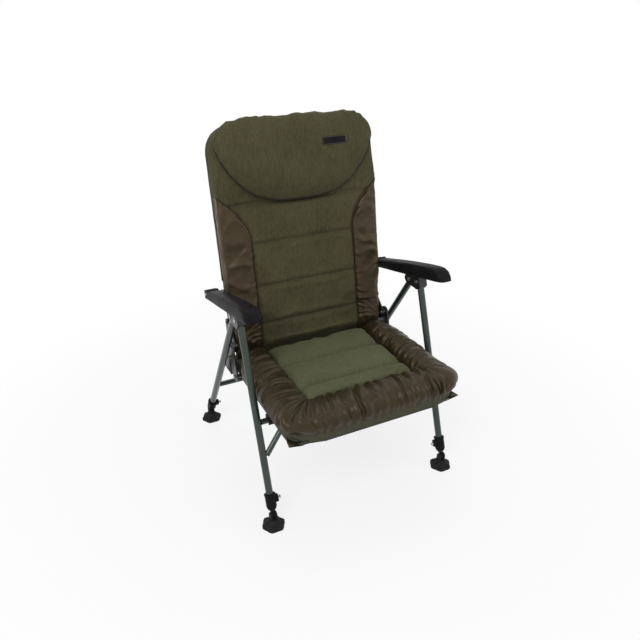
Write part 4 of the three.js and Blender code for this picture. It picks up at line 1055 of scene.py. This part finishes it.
SLEEVE_Y, SEAT_FRONT, SEAT_REAR, SEAT_BEND = 0.0285, -0.3026, 0.1525, 0.022
DECK = 0.0117
HEM_GAP = 0.0006
SEAT_OPEN, BACK_OPEN = 0.247, 0.246  # half widths where no tube carries the sheet
seat_sheet = []
for y in steps((SEAT_REAR, SEAT_FRONT), SHEET_STEP):
    half = SEAT_OPEN if y > SLEEVE_Y else RAIL_X
    seat_sheet.append([(half * s, y, RAIL_Z + DECK) for s in np.linspace(-1, 1, 24)])
EAR = SimpleNamespace(x=0.216, y=-0.2806, wide=0.032, deep=0.0325, top=0.3125, bottom=0.299)
EAR_TIP = (0.2575, -0.3185, 0.31)
seat_ears = []
for hand in (-1, 1):
    turn = [(hand * (EAR.x + EAR.wide * math.sin(t)), EAR.y - EAR.deep * math.cos(t))
            for t in np.linspace(0, math.pi / 2, 7)]
    upper, lower = ([(x, y, z) for x, y in turn] for z in (EAR.top, EAR.bottom))
    seat_ears.append(((hand * EAR_TIP[0], *EAR_TIP[1:]), upper, lower))
sling("seat_sling", rail_path(SLEEVE_Y, SEAT_FRONT, RAIL_Z, SEAT_BEND), seat_sheet, seat_ears,
      lambda x, y, z: (x, y, z), fabrics["seat_canvas"], "seat", "seat_deck")

SLEEVE_UP, BACK_TOP, BACK_BEND = 0.187, 0.60, 0.06
back_sheet = []
for up in steps((-0.012, SLEEVE_UP, BACK_TOP - BACK_BEND, BACK_TOP), SHEET_STEP):
    half = BACK_OPEN if up < SLEEVE_UP - CLOSE else RAIL_X
    if up > BACK_TOP - BACK_BEND:
        half = RAIL_X - BACK_BEND + math.sqrt(max(0.0, BACK_BEND**2 - (up - BACK_TOP + BACK_BEND) ** 2))
    back_sheet.append([(half * s, up, -BACK_RAIL + DECK) for s in np.linspace(-1, 1, 24)])
sling("back_sling", rail_path(SLEEVE_UP, BACK_TOP, -BACK_RAIL, BACK_BEND), back_sheet, [],
      back_place, fabrics["back_canvas"], "back", "back_deck")


def hem(name, body, place, out, along, across, ends):
    """Two rows of stitches along each side of a sling, as seen from behind and below, and two at each end."""
    lines = [[(x, v) for v in along] for x in (-0.224, -0.219, 0.224, 0.219)]
    lines += [[(x, v) for x in across] for v in ends]
    stitches(name, [[(place(*p), out) for p in line] for line in lines], body, False)


hem("back_hem", "back", lambda x, up: back_place(x, up, -BACK_RAIL + DECK - HEM_GAP), (0, 1, 0),
    span(0, 0.54), span(-0.22, 0.22), (0.006, 0.011, 0.576, 0.581))
hem("seat_hem", "seat", lambda x, y: (x, y, RAIL_Z + DECK - HEM_GAP), (0, 0, -1),
    span(SEAT_FRONT + 0.03, 0.13), span(-0.21, 0.21),
    (SEAT_FRONT + 0.0165, SEAT_FRONT + 0.0215, 0.139, 0.144))

dress_solids()

# Camera, as the photograph was taken
camera = bpy.data.objects.new("camera", bpy.data.cameras.new("camera"))
scene.collection.objects.link(camera)
scene.camera = camera
camera.data.sensor_width = 36
camera.data.lens = 35.05
camera.location = (-0.7321, -1.4435, 1.286)
TURN, DIP = math.radians(26.433), math.radians(27.103)
sight = Vector((math.sin(TURN) * math.cos(DIP), math.cos(TURN) * math.cos(DIP), -math.sin(DIP)))
camera.rotation_euler = sight.to_track_quat("-Z", "Y").to_euler()

# Studio: a pale floor that keeps the shadow, a white surround and soft lamps
scene.view_settings.view_transform = "Standard"


def seen_share(tree, near, far):
    """The share of white for the camera and for reflections: near by the chair, far away from it."""
    path = add_node(tree, "LightPath")
    seen = path.outputs["Is Camera Ray"]
    for kind in ("Is Glossy Ray", "Is Transmission Ray"):
        seen = math_node(tree, "MAXIMUM", seen, path.outputs[kind])
    if near == far:
        return seen
    away = add_node(tree, "VectorMath", Vector=add_node(tree, "TexCoord").outputs["Object"])
    away.operation = "LENGTH"
    rise = add_node(tree, "MapRange", Value=away.outputs["Value"], From_Min=0.45, From_Max=1.5, To_Min=near,
                    To_Max=far)
    rise.interpolation_type = "SMOOTHSTEP"
    return math_node(tree, "MULTIPLY", seen, rise.outputs[0])


def white_ground(owner, kind, lit, white, near=1, far=1):
    """Mixes what gives light with the white that is seen: each is (kind of shader, its inputs)."""
    owner.use_nodes = True
    tree = owner.node_tree
    tree.nodes.clear()
    mix = add_node(tree, "MixShader", Fac=seen_share(tree, near, far))
    for socket, (shader, inputs) in zip(mix.inputs[1:], (lit, white)):
        tree.links.new(add_node(tree, shader, **inputs).outputs[0], socket)
    add_node(tree, kind, Surface=mix.outputs[0])


FLOOR = 14
WHITE = {"Color": (1, 1, 1, 1), "Strength": 1.0}
ground = bpy.data.materials.new("floor")
white_ground(ground, "OutputMaterial", ("BsdfDiffuse", {"Color": (0.88, 0.88, 0.88, 1)}),
             ("Emission", WHITE), 0.78, 1.0)
corners = [(-FLOOR, -FLOOR, 0), (FLOOR, -FLOOR, 0), (FLOOR, FLOOR, 0), (-FLOOR, FLOOR, 0)]
floor = mesh_object("floor", corners, [(0, 1, 2, 3)], [ground])
world = bpy.data.worlds.new("studio")
scene.world = world
white_ground(world, "OutputWorld", ("Background", {**WHITE, "Strength": 0.5}), ("Background", WHITE))


def make_lamp(name, place, size, power):
    lamp = bpy.data.lights.new(name, "AREA")
    lamp.shape = "SQUARE"
    lamp.size = size
    lamp.energy = power
    obj = bpy.data.objects.new(name, lamp)
    scene.collection.objects.link(obj)
    obj.location = place
    obj.rotation_euler = (Vector((0, 0, 0.45)) - Vector(place)).to_track_quat("-Z", "Y").to_euler()


make_lamp("key", (-1.9, -1.7, 2.6), size=1.5, power=48)
make_lamp("fill", (2.2, -1.6, 1.8), size=1.6, power=13)
make_lamp("top", (0.3, 0.9, 2.8), size=1.6, power=15)
